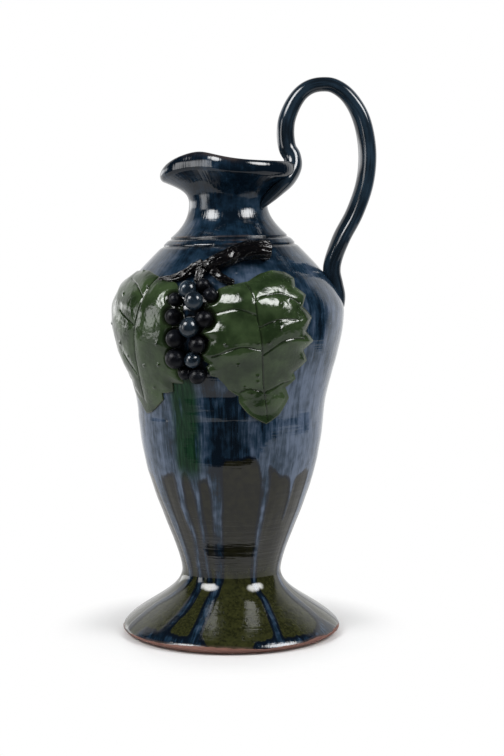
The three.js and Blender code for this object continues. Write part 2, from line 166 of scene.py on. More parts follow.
def add_piece(name, node, finish, grid, fields, closed=False):
    """Object from a grid of points, rows by columns, in millimetres.

    Point (i, j) joins to (i+1, j) and (i, j+1), and the last column joins to the first. With closed,
    the last row joins to the first as well. fields are arrays of one number for each point.
    """
    rows, columns = grid.shape[:2]
    i, j = np.meshgrid(np.arange(rows if closed else rows - 1), np.arange(columns), indexing="ij")
    below = (i + 1) % rows
    beside = (j + 1) % columns
    corners = [i * columns + j, below * columns + j, below * columns + beside, i * columns + beside]
    mesh = bpy.data.meshes.new(name)
    mesh.from_pydata(grid.reshape(-1, 3) * MM, [], np.stack(corners, -1).reshape(-1, 4), shade_flat=False)
    for field, values in fields.items():
        layer = mesh.attributes.new(field, "FLOAT", "POINT")
        layer.data.foreach_set("value", np.broadcast_to(values, (rows, columns)).astype(np.float32).ravel())
    shape = bmesh.new()
    shape.from_mesh(mesh)
    bmesh.ops.remove_doubles(shape, verts=shape.verts, dist=MERGE_DISTANCE)
    bmesh.ops.recalc_face_normals(shape, faces=shape.faces)
    shape.to_mesh(mesh)
    shape.free()
    mesh.set_sharp_from_angle(angle=np.radians(SHARP_ANGLE))
    mesh.materials.append(finish)
    piece = placed(name, mesh)
    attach(piece, "root")
    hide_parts(node)
    print(name, "stands for", node, "with", len(mesh.polygons), "faces")


print("edges turn sharp past", SHARP_ANGLE, "degrees")

# %% Humps, steps and noise
WAVES = 20


def size(vectors):
    """Length of each vector."""
    return np.linalg.norm(vectors, axis=-1)


def bell(distance, spread):
    """Round hump: 1 in the middle, falling as exp(-(distance / spread)^2)."""
    return np.exp(-((distance / spread) ** 2))


def smooth(value):
    """Eased step: 0 up to 0, 1 from 1 on, and 3t^2 - 2t^3 between."""
    t = np.clip(value, 0, 1)
    return t * t * (3 - 2 * t)


def window(value, low, rise, high, fall):
    """1 between low and high, easing in over a rise at the low end and out over a fall at the high end."""
    return smooth((value - low) / rise) * smooth((high - value) / fall)


def around(value, middle, half, soft):
    """1 near a middle, easing to 0 at half on both sides of it."""
    return smooth((half - np.abs(value - middle)) / soft)


def distance_to(points, line):
    """Distance of points from a bent line: the least over its pieces of the distance to each piece."""
    start, end = np.array(line, float)[:-1], np.array(line, float)[1:]
    along = end - start
    to = points[..., None, :] - start
    share = np.clip((to * along).sum(-1) / (along ** 2).sum(-1), 0, 1)
    return size(to - share[..., None] * along).min(-1)


def ripple(points, length, seed):
    """Uneven field of about -1 to 1: the sum of sine waves of about one length that run all ways, over the
    root of their number."""
    draw = np.random.default_rng(seed)
    ways = draw.normal(size=(WAVES, points.shape[-1]))
    sizes = 2 * np.pi / length * draw.uniform(0.7, 1.4, (WAVES, 1))
    waves = ways * sizes / size(ways)[:, None]
    return np.sin(points @ waves.T + draw.uniform(0, 2 * np.pi, WAVES)).sum(-1) / np.sqrt(WAVES)


print("noise adds up", WAVES, "waves")

# %% [markdown]
# ## Wiring finishes
# A glaze is coloured glass over clay: one glossy shader whose colour changes with the runs of glaze. The
# nodes could be placed by hand in the editor. Here two small classes place them: a wire turns signs of
# arithmetic into nodes, and a wiring names the few other kinds that are needed. So a finish reads as a
# recipe: take a field, draw streaks, ramp them, blend two colours. Colours are in linear light.

# %% Wire
class Wire:
    """Number or colour that comes out of a node. Signs between wires and numbers add Math nodes."""

    def __init__(self, wiring, socket):
        self.wiring = wiring
        self.socket = socket

    def __add__(self, other):
        return self.wiring.calc("ADD", self, other)

    def __mul__(self, other):
        return self.wiring.calc("MULTIPLY", self, other)

    def __sub__(self, other):
        return self.wiring.calc("SUBTRACT", self, other)

    def __rsub__(self, other):
        return self.wiring.calc("SUBTRACT", other, self)

    __radd__ = __add__


print("between wires, + - and * add nodes")

# %% Wiring
GLAZE_IOR = 1.45


class Wiring:
    """Nodes of a material or of the world."""

    def __init__(self, block):
        block.use_nodes = True
        self.block = block
        self.tree = block.node_tree
        self.shader = self.tree.nodes.get("Principled BSDF")

    def put(self, socket, value):
        """Links a wire to a socket, or fills the socket with a fixed number or colour."""
        if isinstance(value, Wire):
            self.tree.links.new(value.socket, socket)
        else:
            socket.default_value = (*value, 1.0) if socket.type == "RGBA" else value

    def add(self, kind, inputs, output=0, **choices):
        """Adds a node, sets its choices and its inputs, and gives the wire from one of its outputs."""
        node = self.tree.nodes.new("ShaderNode" + kind)
        for choice, value in choices.items():
            setattr(node, choice, value)
        for key, value in inputs.items():
            self.put(node.inputs[key], value)
        return Wire(self, node.outputs[output])

    def calc(self, operation, first, second):
        """Sum, product or other step of arithmetic between two numbers."""
        return self.add("Math", {0: first, 1: second}, operation=operation)

    def vector(self, operation, inputs, output=0):
        """Step of arithmetic on vectors."""
        return self.add("VectorMath", inputs, output, operation=operation)

    def field(self, name):
        """Number kept on the points of the mesh."""
        return self.add("Attribute", {}, "Fac", attribute_name=name)

    def place(self):
        """Place on the piece, in metres."""
        return self.add("TexCoord", {}, "Object")

    def ramp(self, value, low, high):
        """Eased step from 0 at low to 1 at high."""
        inputs = {"Value": value, "From Min": low, "From Max": high}
        return self.add("MapRange", inputs, interpolation_type="SMOOTHSTEP")

    def blend(self, share, first, second):
        """Colour between two, by a share from 0 to 1."""
        return self.add("Mix", {0: share, 6: first, 7: second}, 2, data_type="RGBA")

    def noise(self, where, scale, detail):
        """Soft noise, as a number near a half."""
        return self.add("TexNoise", {"Vector": where, "Scale": scale, "Detail": detail})

    def clouds(self, scale, detail):
        """Noise that fills the space of the piece."""
        return self.noise(self.place(), scale, detail)

    def level(self, vector):
        """Direction round the axis: a vector without its height, brought to length one."""
        return self.vector("NORMALIZE", {0: self.vector("MULTIPLY", {0: vector, 1: (1, 1, 0)})})

    def streaks(self, round_scale, run_scale, detail):
        """Noise on a map of a turned wall: the unit direction round the axis, times round_scale, with the
        run along the wall, times run_scale, as its height. Its streaks follow the wall without a seam."""
        wide = self.vector("SCALE", {0: self.level(self.place()), "Scale": round_scale})
        rise = self.add("CombineXYZ", {2: self.field("run") * run_scale})
        return self.noise(self.vector("ADD", {0: wide, 1: rise}), 1.0, detail)

    def finished(self, colour, rough, height, distance, ior=GLAZE_IOR):
        """Material with its colour, its roughness and its bump, a height times a distance in metres."""
        bump = self.add("Bump", {"Height": height, "Distance": distance, "Strength": 1.0})
        for name, value in {"Base Color": colour, "Roughness": rough, "IOR": ior, "Normal": bump}.items():
            self.put(self.shader.inputs[name], value)
        print(self.block.name, "has", len(self.tree.nodes), "nodes")
        return self.block


def new_finish(name):
    """Wiring of a new material."""
    return Wiring(bpy.data.materials.new(name))


print("glaze bends light with an index of", GLAZE_IOR)

# %% [markdown]
# ## Where the glazes run
# The potter dipped the top in a blue glaze that melts and runs. Its lower edge is ragged, and from it
# long drips run down over the olive glaze below, some of them across the foot. The runs could be painted
# in an image. Instead each point of the wall gets its depth inside the blue in millimetres, positive
# inside and negative outside, from a wavy edge and a list of drips, and the finish turns that depth into
# navy rims and pale hearts. The drips on the far side are drawn at random with a fixed seed.

# %% Edge of the blue glaze and its drips, as [degrees round, height]
BLUE_EDGE = np.array([
    (-180, 116), (-158, 106), (-132, 119), (-104, 104), (-80, 110), (-51, 111), (-43, 114), (-30, 116),
    (-20, 111), (-15, 114), (-3, 126), (6, 126), (16, 129), (26, 121), (35, 113), (51, 111), (60, 115),
    (82, 106), (104, 118), (133, 107), (157, 119), (180, 116),
], float)
FRONT_DRIPS = [
    ([(-36, 130), (-38, 92), (-34, 70), (-38, 49), (-37, 38), (-37.5, 20), (-41, 8)], 5.5, 2.6, 3.6),
    ([(-24.6, 116), (-23.8, 97), (-23.2, 73), (-26, 58), (-27, 49), (-25, 40)], 4.6, 2.3, 2.4),
    ([(-11, 122), (-9.4, 98), (-10.9, 64), (-13.3, 40), (-18.8, 28), (-20, 7)], 6.5, 2.8, 4.2),
    ([(18, 130), (22, 122), (24.6, 111), (24.8, 93), (24.2, 73), (26.6, 50), (27, 38), (32, 28), (26, 7)],
     5.0, 2.3, 3.0),
    ([(45.5, 117), (48.3, 98), (47.6, 83)], 6.0, 1.5, 1.5),
    ([(72, 118), (70, 80), (71, 38), (67, 18), (62, 6)], 9.0, 3.4, 4.0),
    ([(-62, 118), (-56, 80), (-54, 40), (-72, 21), (-70, 8)], 9.0, 3.2, 4.2),
]
EDGE_POOLS = np.array([
    (-180, 0), (-63, 0), (-55, 10.5), (-30, 10), (-14, 8.5), (-7, 0), (9, 0), (13, 8), (30, 8.5), (50, 8),
    (58, 11), (70, 12), (80, 0), (180, 0),
], float)
WEB = 1.3
FAR_DRIPS = 11
FAR_TIPS = [8, 22, 46, 70]
FAR_HALVES = ((4, 7), (1.6, 2.8), (2, 5))
print("edge of the blue:", len(BLUE_EDGE), "points, with", len(FRONT_DRIPS), "drips at the front")

# %% Depth inside the blue
def far_drips(seed):
    """Drips of the side away from the front, each wandering a little as it falls."""
    draw = np.random.default_rng(seed)
    starts = np.linspace(92, 262, FAR_DRIPS) + draw.uniform(-5, 5, FAR_DRIPS)
    made = []
    for start in np.where(starts > 180, starts - 360, starts):
        heights = np.linspace(122, draw.choice(FAR_TIPS), 6)
        wander = start + np.cumsum(draw.uniform(-3, 3, 6))
        made.append((list(zip(wander, heights)), *(draw.uniform(*ends) for ends in FAR_HALVES)))
    return made


def drip_depth(degrees, height, path, top_half, low_half, foot_half):
    """Depth inside one drip: half its width less the distance from its middle line, round at its tip.
    The half width falls from top_half to low_half with the cube of the way down, and spreads again to
    foot_half over the slope of the foot."""
    middle, level = np.array(path, float)[::-1].T
    apart = (degrees - np.interp(height, level, middle) + 180) % 360 - 180
    across = np.radians(apart) * wall_radius(height)
    climb = np.clip((height - level[0]) / (level[-1] - level[0]), 0, 1)
    half = low_half + (top_half - low_half) * climb ** 3
    half = half + (foot_half - half) * smooth((WAIST_Z - height) / 22)
    return half - np.hypot(across, np.maximum(level[0] - height, 0))


DRIPS = FRONT_DRIPS + far_drips(11)


def blue_depth(degrees, height):
    """Depth inside the blue glaze: the soft maximum of the height above its edge, of the depth below the
    top of the pools at the foot's edge and of every drip's depth, WEB times the log of the sum of
    exp(depth / WEB), which webs the drips to the edge and to the pools."""
    layers = [height - np.interp(degrees, *BLUE_EDGE.T), np.interp(degrees, *EDGE_POOLS.T) - height]
    layers += [drip_depth(degrees, height, *drip) for drip in DRIPS]
    return WEB * np.log(sum(np.exp(np.clip(layer, -30, 30) / WEB) for layer in layers))


print("glaze runs:", len(DRIPS), "drips")

# %% Milk and green in the blue, the milk as [height, share]
MILK_LEVELS = np.array([
    (10, 0.12), (36, 0.34), (46, 0.55), (105, 0.64), (130, 0.66), (175, 0.66), (215, 0.56), (245, 0.4),
    (262, 0.25), (274, 0.17), (290, 0.18), (320, 0.12),
])
MILK_SPOTS = [
    (-0.22, 29, 10, 143, 22), (-0.3, 51, 8, 212, 30), (0.2, 15, 14, 245, 9), (-0.18, 44, 16, 254, 12),
    (-0.15, -46, 15, 145, 40),
]


def milkiness(degrees, height):
    """Share of pale streaks in the blue. It goes by height, with humps of [amount, degrees, spread, height,
    spread], less at the front between the leaves and in one drip, and more on the flanks."""
    share = np.interp(height, *MILK_LEVELS.T)
    for amount, middle, breadth, level, length in MILK_SPOTS:
        share = share + amount * bell(degrees - middle, breadth) * bell(height - level, length)
    share = share - 0.58 * bell(degrees + 5, 17) * window(height, 108, 14, 240, 20)
    share = share - 0.3 * bell(degrees + 11, 5) * smooth((112 - height) / 16)
    return share + 0.16 * bell(np.abs(degrees) - 64, 20) * smooth((height - 50) / 30)


def green_run(degrees, height):
    """Green that ran down from the grapes: a stripe with soft sides and ends."""
    return around(degrees, -27.5, 11.5, 6) * window(height, 108, 14, 205, 20)


print("milk on the right flank of the belly:", round(float(milkiness(64.0, BELLY_Z)), 2))

# %% Grapes, as [across, drop, lift, radius], and the painted shade round them, over glaze that pooled there
GRAPES = [
    (-21, 55, 8.2, 6.2), (-24.5, 69, 5.4, 6.7), (-26, 47, 4.6, 6), (-23, 90, 4.4, 5.3), (-34, 89.5, 5, 6.7),
    (-34.5, 76.5, 4.6, 6), (-35, 53, 3, 4.5), (-36, 63, 3.6, 5.4), (-16.5, 43, 3, 4.6), (-12, 49.5, 3, 4.6),
    (-15.5, 64, 4, 5.5), (-20, 80, 4.4, 5.6), (-20, 101, 4, 5.5), (-28.5, 99.5, 3, 4.6),
]
SHADE_REACH = 2.7


def grape_shade(across, drop):
    """Painted shade round the grapes, over dark glaze that pooled there: 1 under a grape, easing to 0 at the
    reach of the shade outside its edge.
    """
    pool = np.zeros(np.shape(across))
    for grape_across, grape_drop, _, radius in GRAPES:
        gap = np.hypot(across - grape_across, drop - grape_drop) - radius
        pool = np.maximum(pool, smooth(1 - gap / SHADE_REACH))
    return pool


print("grapes:", len(GRAPES))

# %% [markdown]
# ## The runny glaze
# Up close the blue is a curtain of fine streaks, navy where it is thick and milky where it broke, and
# the lower glaze is a dark olive glass, greener on the foot. Noises on the streak map give the curtain,
# and on the shoulder, where glaze hardly runs, clouds take their place. Glaze thins to brown over sharp
# lines, and the foot's lowest edge is bare clay, browned by the fire, so those come in last, from their own
# fields. The bump is the curtain and the fine rings of the wheel, with lumps low on the foot.

# %% Finish of the foot, belly and neck
NIGHT_BLUE = (0.0025, 0.0065, 0.0125)
NAVY = (0.01, 0.027, 0.05)
MILK_BLUE = (0.092, 0.124, 0.186)
DRIP_RIM = (0.0025, 0.005, 0.01)
OLIVES = (0.0065, 0.0064, 0.0035), (0.014, 0.0135, 0.0065)
MOSSES = (0.011, 0.0125, 0.0045), (0.034, 0.036, 0.0115)
FERNS = (0.005, 0.018, 0.01), (0.013, 0.042, 0.02)
CLAYS = (0.14, 0.055, 0.035), (0.32, 0.15, 0.1)
SINGED_CLAY = (0.09, 0.04, 0.032)
THIN_BROWN = (0.075, 0.054, 0.042)
CRAWL_BLACK = (0.003, 0.003, 0.002)
PAINTED_BLACK = (0.003, 0.003, 0.003)
WALL_BUMP = 0.00016


def weighed(*pairs):
    """Sum of noises, each less a half and times its weight, so that it swings round 0."""
    return sum((noise - 0.5) * weight for noise, weight in pairs)


def runny_glaze():
    """Blue over olive. Ramps of the run are in millimetres of wall up from the foot's edge."""
    glaze = new_finish("runny_glaze")
    field, ramp, blend = glaze.field, glaze.ramp, glaze.blend
    fine = glaze.streaks(58.0, 0.09, 4.0)
    curtain = glaze.streaks(20.0, 0.04, 4.0)
    broad = glaze.streaks(7.0, 0.012, 2.0)
    rings = glaze.streaks(1.2, 0.4, 2.0)
    cloud = glaze.clouds(48.0, 5.0)
    mottle = glaze.clouds(190.0, 4.0)
    grain = glaze.clouds(520.0, 3.0)
    run = field("run")
    streak = weighed((fine, 0.55), (curtain, 1.1), (broad, 1.1)) * ramp(run, 275.0, 240.0)
    milk = streak + weighed((cloud, 1.2), (mottle, 0.8), (fine, 0.4)) + field("milk")
    blue = blend(ramp(milk, -0.05, 0.45), NIGHT_BLUE, NAVY)
    blue = blend(ramp(milk, 0.26, 1.12), blue, MILK_BLUE)
    depth = field("blue") + weighed((curtain, 3.0), (mottle, 1.0))
    blue = blend(ramp(depth, 0.8, 2.8), DRIP_RIM, blue)
    olive = blend(ramp(mottle, 0.35, 0.7), *OLIVES)
    moss = blend(ramp(weighed((mottle, 0.7), (grain, 1.0)), -0.32, 0.34), *MOSSES)
    ground = blend(ramp(run, 74.0, 48.0), olive, moss)
    colour = blend(ramp(depth, -0.4, 0.4), ground, blue)
    fern = blend(ramp(fine, 0.34, 0.74), *FERNS)
    colour = blend(field("green") * ramp(curtain, 0.2, 0.46), colour, fern)
    colour = blend(field("thin") * ramp(cloud, 0.42, 0.62), colour, THIN_BROWN)
    colour = blend(ramp(field("crawl"), 0.55, 0.2), colour, CRAWL_BLACK)
    # Painted shade round the grapes, a darker groove and a painted reflection of the dark room on a patch at
    # the front.
    colour = blend(field("pool") * 0.9, colour, PAINTED_BLACK)
    bare = ramp(field("bare") + mottle * 1.2, 0.45, 0.75)
    clay = blend(ramp(field("bare"), 6.0, 3.0) * 0.75, blend(mottle, *CLAYS), SINGED_CLAY)
    colour = blend(bare, colour, clay)
    rough = mottle * 0.05 + 0.03 + bare * 0.6
    glaze.put(glaze.shader.inputs["Specular IOR Level"], 0.5 - field("green") * 0.36)
    wall = ramp(run, 52.0, 64.0)
    turned = wall - ramp(run, 115.0, 150.0) * 0.65 + ramp(run, 44.0, 34.0) * 0.55
    lumps = (mottle + grain) * ramp(run, 38.0, 28.0)
    height = weighed((curtain * wall, 1.0), (mottle, 0.3), (rings * turned, 1.7), (lumps, 0.7))
    return glaze.finished(colour, rough, height, WALL_BUMP)


RUNNY_GLAZE = runny_glaze()

# %% [markdown]
# ## Foot, belly and neck
# The three thrown sections are luted together under the glaze, so their outer walls have to meet with no
# step. All three take their points from the same profile and the same relief, and rows crowd towards
# the joints. The relief holds what the hands and the glaze left: two turns of a cut line round the
# shoulder, soft throwing rings, a dent, a swelling and a thin ridge at the front, a pad of clay under the
# grapes, and drips that stand a little proud.

# %% Relief of the wall
COLUMNS = 432
ROUND = np.linspace(-180, 180, COLUMNS, endpoint=False)
GROOVE_PITCH = 5
GROOVE_HALF = 1.3
GROOVE_DEPTH = 1.2
DRIP_RELIEF = 0.3
RING_DEPTH = 0.14
FRONT_DENT = 0.83
FRONT_DENT_Z = 129
FRONT_DENT_LENGTH = 52
LOW_SWELL = 1.5
LOW_SWELL_Z = 56
RIDGE_Z = 155
RIDGE_RISE = 0.28
VINE_PAD_RISE = 1.7


def groove_distance(degrees, height):
    """Distance from a line that winds twice round the shoulder, rising one pitch a turn."""
    climb = GROOVE_PITCH * degrees / 360
    lower = np.abs(height - (NECK_ROOT_Z - GROOVE_PITCH) - climb)
    upper = np.abs(height - NECK_ROOT_Z - climb)
    return np.minimum(lower, upper)


def throwing_rings(degrees, height):
    """Soft rings of the potter's fingers, in millimetres: waves up the wall that drift as they go round,
    kept just inside the smooth wall."""
    place = np.stack([np.cos(np.radians(degrees)) * 40, np.sin(np.radians(degrees)) * 40, height * 3.2], -1)
    return 0.1 * ripple(place, 60, 3) + 0.03 * ripple(place * (2, 2, 1), 30, 4) - RING_DEPTH


def finger_dents(degrees, height):
    """A slow dent at the front, one wave of a sine up the wall that fades above and below, and a swelling
    near the foot that rises quickly and falls slowly."""
    turn = 2 * np.pi * (height - FRONT_DENT_Z) / FRONT_DENT_LENGTH
    dent = FRONT_DENT * np.sin(turn) * window(height, 92, 14, 172, 14)
    swell = LOW_SWELL * window(height, LOW_SWELL_Z, 13, LOW_SWELL_Z + 49, 36)
    return swell * around(degrees, 0, 36, 16) - dent * around(degrees, -9, 34, 14)


def pressed_ridges(degrees, height):
    """A thin ridge round the front, lower at its ends, and a pad of clay smeared under the grapes."""
    level = RIDGE_Z - 8 * smooth((np.abs(degrees + 5) - 22) / 16)
    ridge = RIDGE_RISE * bell(height - level, 2.6) * around(degrees, -2, 32, 8)
    return ridge + VINE_PAD_RISE * window(height, 168, 10, 200, 12) * around(degrees, -11, 20, 10)


def wall_relief(degrees, height):
    """Height of the surface over the smooth wall, in millimetres."""
    cut = -GROOVE_DEPTH * bell(groove_distance(degrees, height), GROOVE_HALF * 0.6)
    drip = DRIP_RELIEF * smooth(blue_depth(degrees, height) / 2.5 + 0.4) * smooth((150 - height) / 40)
    drip = drip * (1 - 0.8 * bell(height - WAIST_Z + 5, 7))
    rings = throwing_rings(degrees, height) * window(height, 48, 20, 262, 14)
    return cut + drip + rings + finger_dents(degrees, height) + pressed_ridges(degrees, height)


print("deepest relief", round(float(wall_relief(ROUND, np.full(COLUMNS, 266.0)).min()), 2), "mm")

# %% Rows of the wall
CRAWL_LINES = [
    [(29.4, 73), (36, 68), (44, 62), (45, 55), (41.4, 45.5)],
    [(-27, 62), (-31, 66), (-33, 71)],
]


def crawl_distance(degrees, height):
    """Distance from the nearest line where the glaze crawled back in the firing, in millimetres."""
    spots = np.stack([np.radians(degrees) * wall_radius(height), height], -1)
    lines = [np.array(line, float) for line in CRAWL_LINES]
    flat = [np.stack([np.radians(line[:, 0]) * wall_radius(line[:, 1]), line[:, 1]], -1) for line in lines]
    return np.minimum(np.min([distance_to(spots, line) for line in flat], 0), 9)


def outer_rows(rings):
    """Grid of the outer wall from [radius, height] rings, with its relief and its fields. The field that
    darkens it holds painted shade round the grapes, a darker groove and, half as strong, a painted
    reflection of the dark room on a soft patch at the front."""
    height = np.repeat(rings[:, 1:], COLUMNS, 1)
    degrees = np.repeat(ROUND[None], len(rings), 0)
    radius = rings[:, :1] + wall_relief(degrees, height)
    turn = np.radians(degrees)
    points = round_axis(radius, turn, height)
    edge = np.abs(groove_distance(degrees, height) - GROOVE_HALF)
    fields = {
        "run": wall_run(height),
        "blue": blue_depth(degrees, height),
        "milk": milkiness(degrees, height),
        "green": green_run(degrees, height),
        "thin": bell(edge, 0.5) * smooth((height - 250) / 10),
        "bare": np.full(height.shape, -9.0),
        "crawl": crawl_distance(degrees, height),
        "pool": np.maximum(
            grape_shade(turn * wall_radius(height), wall_run(NECK_ROOT_Z) - wall_run(height)),
            0.5 * bell(degrees - 2, 15) * bell(height - 143, 17),
        ) + 0.75 * bell(groove_distance(degrees, height), 0.8),
    }
    return points, fields


def plain_rows(rings, bare):
    """Grid of turned rings away from the outer wall: the inside in plain dark glaze, or bare clay."""
    height = np.repeat(rings[:, 1:], COLUMNS, 1)
    points = round_axis(rings[:, :1], np.radians(ROUND)[None], height)
    values = {"run": 120, "blue": -9, "milk": 0, "green": 0, "thin": 0, "bare": bare, "crawl": 9, "pool": 0}
    return points, {name: np.full(height.shape, float(value)) for name, value in values.items()}


def stacked(*parts):
    """One grid and one set of fields from several, row upon row."""
    points = np.concatenate([part[0] for part in parts])
    return points, {name: np.concatenate([part[1][name] for part in parts]) for name in parts[0][1]}


print("wall rows:", COLUMNS, "points round")

# %% Belly
BELLY_WALL = 6.5
OUTER_COUNTS = (62, 44, 78)
INNER_COUNT = 9
BELLY_CURVES = (LOWER_WALL, UPPER_WALL, SHOULDER_WALL)

belly_outside = np.vstack([
    stretch(curve, eased(count))[1 if order else 0:]
    for order, (curve, count) in enumerate(zip(BELLY_CURVES, OUTER_COUNTS))
])
belly_inside = np.vstack([stretch(curve, np.linspace(0, 1, INNER_COUNT))[:-1] for curve in BELLY_CURVES])
belly_inside = np.vstack([belly_inside, NECK_ROOT_RING]) - (BELLY_WALL, 0)
belly_grid, belly_fields = stacked(outer_rows(belly_outside), plain_rows(belly_inside[::-1], -9))
add_piece("thrown_belly", "belly", RUNNY_GLAZE, belly_grid, belly_fields, closed=True)

# %% Foot
BASE_RADIUS = 70
BASE_RINGS = 46
FOOT_FLOOR = 9
FOOT_WELL_RADIUS = 46
GLAZE_LINE = 4.4
BEAD_BOTTOM = 3.2
BEAD_TOP = 9.0
WIRE_PITCH = 4.5
WIRE_DEPTH = 0.25
WIRE_BOW = 150
LAP_WAVER = 0.7

bead_share = np.linspace(0, 1, 14)[:-1, None]
bead_low, bead_out, bead_high = np.array([
    (FOOT_RING[0], BEAD_BOTTOM), (FOOT_RING[0] - 0.4, 5.6), (wall_radius(BEAD_TOP), BEAD_TOP),
])
bead = (1 - bead_share) ** 2 * bead_low + 2 * (1 - bead_share) * bead_share * bead_out
bead = bead + bead_share ** 2 * bead_high
foot_slope = stretch(FOOT_WALL, eased(90))
foot_outside = np.vstack([bead, foot_slope[foot_slope[:, 1] > BEAD_TOP]])
foot_well = ((FOOT_WELL_RADIUS, FOOT_FLOOR), (WAIST_RING[0] - BELLY_WALL, WAIST_Z), (0.5, 0.3), (0, 0.4))
foot_inside = np.vstack([stretch(foot_well, np.linspace(0, 1, 16))[::-1], (20, FOOT_FLOOR), (0, FOOT_FLOOR)])
underside = np.stack([np.linspace(0, BASE_RADIUS, BASE_RINGS), np.zeros(BASE_RINGS)], -1)
heel = np.array([(71.2, 0.5), (72.6, 1.2), (74, 2), (74.8, 2.7)])
foot_grid, foot_fields = stacked(
    plain_rows(underside, 9), plain_rows(heel, 9), outer_rows(foot_outside), plain_rows(foot_inside, -9)
)
flat = slice(0, len(underside))
wire_curve = foot_grid[flat, :, 1] + foot_grid[flat, :, 0] ** 2 / WIRE_BOW
wire_mark = 0.5 + 0.5 * np.sin(2 * np.pi * wire_curve / WIRE_PITCH + ripple(foot_grid[flat], 30, 8))
foot_grid[flat, :, 2] = WIRE_DEPTH * wire_mark * smooth((BASE_RADIUS - underside[:, :1]) / 5)
edge = slice(len(underside), len(underside) + len(heel) + len(foot_outside))
lap = LAP_WAVER * ripple(foot_grid[edge] * (1, 1, 0), 34, 9)
foot_fields["bare"][edge] = GLAZE_LINE + lap - foot_grid[edge, :, 2]
foot_fields["thin"][edge] = 0.7 * bell(foot_grid[edge, :, 2] - GLAZE_LINE - lap - 0.5, 0.5)
foot_fields["blue"][edge] = blue_depth(degrees_round(foot_grid[edge]), foot_grid[edge, :, 2])
foot_fields["run"][edge] = wall_run(foot_grid[edge, :, 2])
add_piece("thrown_foot", "pedestal_foot", RUNNY_GLAZE, foot_grid, foot_fields)

# %% [markdown]
# ## Neck and pinched spout
# The mouth was thrown round and then drawn with the fingers: the lip dips at the tip of the spout and is
# pinched in and lifted beside it. So the neck is first turned like the rest, with its rolled lip and its
# inside, and then bent by the same rule that the construction model uses. Its flare is hollowed a little
# more than that model's, as a finger run under the lip leaves it.

# %% Neck
NECK_WALL = 5
NECK_LEAN = 1.8
LIP_THICKNESS = 6
LIP_HEIGHT = 10
BOWL_RISE = 22
LIP_BULGE = 2
LIP_MILK = 0.02
LIP_BLUE = 20
SPOUT_DROP = 5
SPOUT_SPREAD = 24
PINCH_DEPTH = 8
PINCH_ANGLE = 54
PINCH_SPREAD = 26
HUMP_RISE = 6
HUMP_ANGLE = 57
HUMP_SPREAD = 32
FLARE = (THROAT_RING, LIP_RING, (0, 0.5), (0.5, 0.25))


def pour(points):
    """Draws a turned mouth into its spout. Above the throat a growing share of each point's radius gives
    way at the pinch, a share of its height rises beside it and drops at the tip; the neck leans a little."""
    x, y, z = np.moveaxis(points, -1, 0)
    share = smooth((z - THROAT_Z) / (RIM_Z - THROAT_Z))
    lean = NECK_LEAN * smooth((z - NECK_ROOT_Z) / (THROAT_Z - NECK_ROOT_Z))
    turn = np.abs(np.degrees(np.arctan2(y, -x)))
    rise = HUMP_RISE * bell(turn - HUMP_ANGLE, HUMP_SPREAD) - SPOUT_DROP * bell(turn, SPOUT_SPREAD)
    radius = np.hypot(x, y)
    reach = -PINCH_DEPTH * bell(turn - PINCH_ANGLE, PINCH_SPREAD) * np.clip(radius / THROAT_RING[0], 0, 1)
    grown = 1 + share * reach / radius
    return np.stack([x * grown - lean, y * grown, z + share * rise], -1)


lip_middle = np.array((LIP_RING[0] + LIP_BULGE - LIP_THICKNESS / 2, LIP_Z + LIP_HEIGHT / 2))
lip_turn = np.radians(np.linspace(-62, 150, 34))[:, None]
lip = lip_middle + np.hstack([np.cos(lip_turn) * LIP_THICKNESS / 2, np.sin(lip_turn) * LIP_HEIGHT / 2])
throat_inside = (THROAT_RING[0] - NECK_WALL, THROAT_Z)
bowl_edge = (LIP_RING[0] + LIP_BULGE - LIP_THICKNESS, THROAT_Z + BOWL_RISE)
bowl = stretch((throat_inside, bowl_edge, (0, 0.62), (0.25, 0.42)), np.linspace(0, 1, 26))[::-1]
root_inside = (NECK_ROOT_RING[0] - BELLY_WALL, NECK_ROOT_Z)
collar = stretch((root_inside, throat_inside, (0.42, 0.217), (0, 0.435)), np.linspace(0, 1, 12))[-2::-1]
neck_outside = np.vstack([stretch(COLLAR_WALL, eased(46)), stretch(FLARE, np.linspace(0, 1, 34))[1:]])
neck_grid, neck_fields = stacked(
    outer_rows(neck_outside), plain_rows(np.vstack([lip, bowl, collar]), -9)
)
lip_rows = slice(len(neck_outside), len(neck_outside) + len(lip))
neck_fields["blue"][lip_rows] = LIP_BLUE
neck_fields["milk"][lip_rows] = LIP_MILK
neck_fields["run"][lip_rows] = wall_run(LIP_Z)
neck_fields["thin"][lip_rows] = 0.5 * bell(np.degrees(lip_turn) - 60, 26)
neck_grid = pour(neck_grid)
add_piece("thrown_neck", "neck", RUNNY_GLAZE, neck_grid, neck_fields, closed=True)

# %% [markdown]
# ## Pulled handle
# The handle was pulled from a lump of clay with wet hands, so it is a smooth oval rod that thins towards
# its crown and spreads where it was pressed onto the lip and the shoulder. It could be a Blender curve
# with a bevel, but a section carried along a path as arrays gives its swelling ends for the same work,
# and the stems of the vine can use the same function. Its root is drawn forward over the lip, and its right
# limb is broader and a little twisted.

# %% Carrying a section along a path
def spline(knots, count):
    """Smooth path through points: between two neighbours it is a cubic that leaves and arrives along the
    line between the points on either side, and it is cut into steps of equal length."""
    knots = np.asarray(knots, float)
    ends = np.vstack([2 * knots[0] - knots[1], knots, 2 * knots[-1] - knots[-2]])
    a, b, c, d = (ends[k:len(ends) - 3 + k, None] for k in range(4))
    t = np.linspace(0, 1, 40)[None, :, None]
    path = b + 0.5 * t * (c - a + t * (2 * a - 5 * b + 4 * c - d + t * (3 * (b - c) + d - a)))
    path = path.reshape(-1, knots.shape[1])
    length = np.append(0, np.cumsum(size(np.diff(path, axis=0))))
    even = np.linspace(0, length[-1], count)
    return np.stack([np.interp(even, length, axis) for axis in path.T], -1)


def unit(vectors):
    """Vectors of length one."""
    return vectors / size(vectors)[..., None]


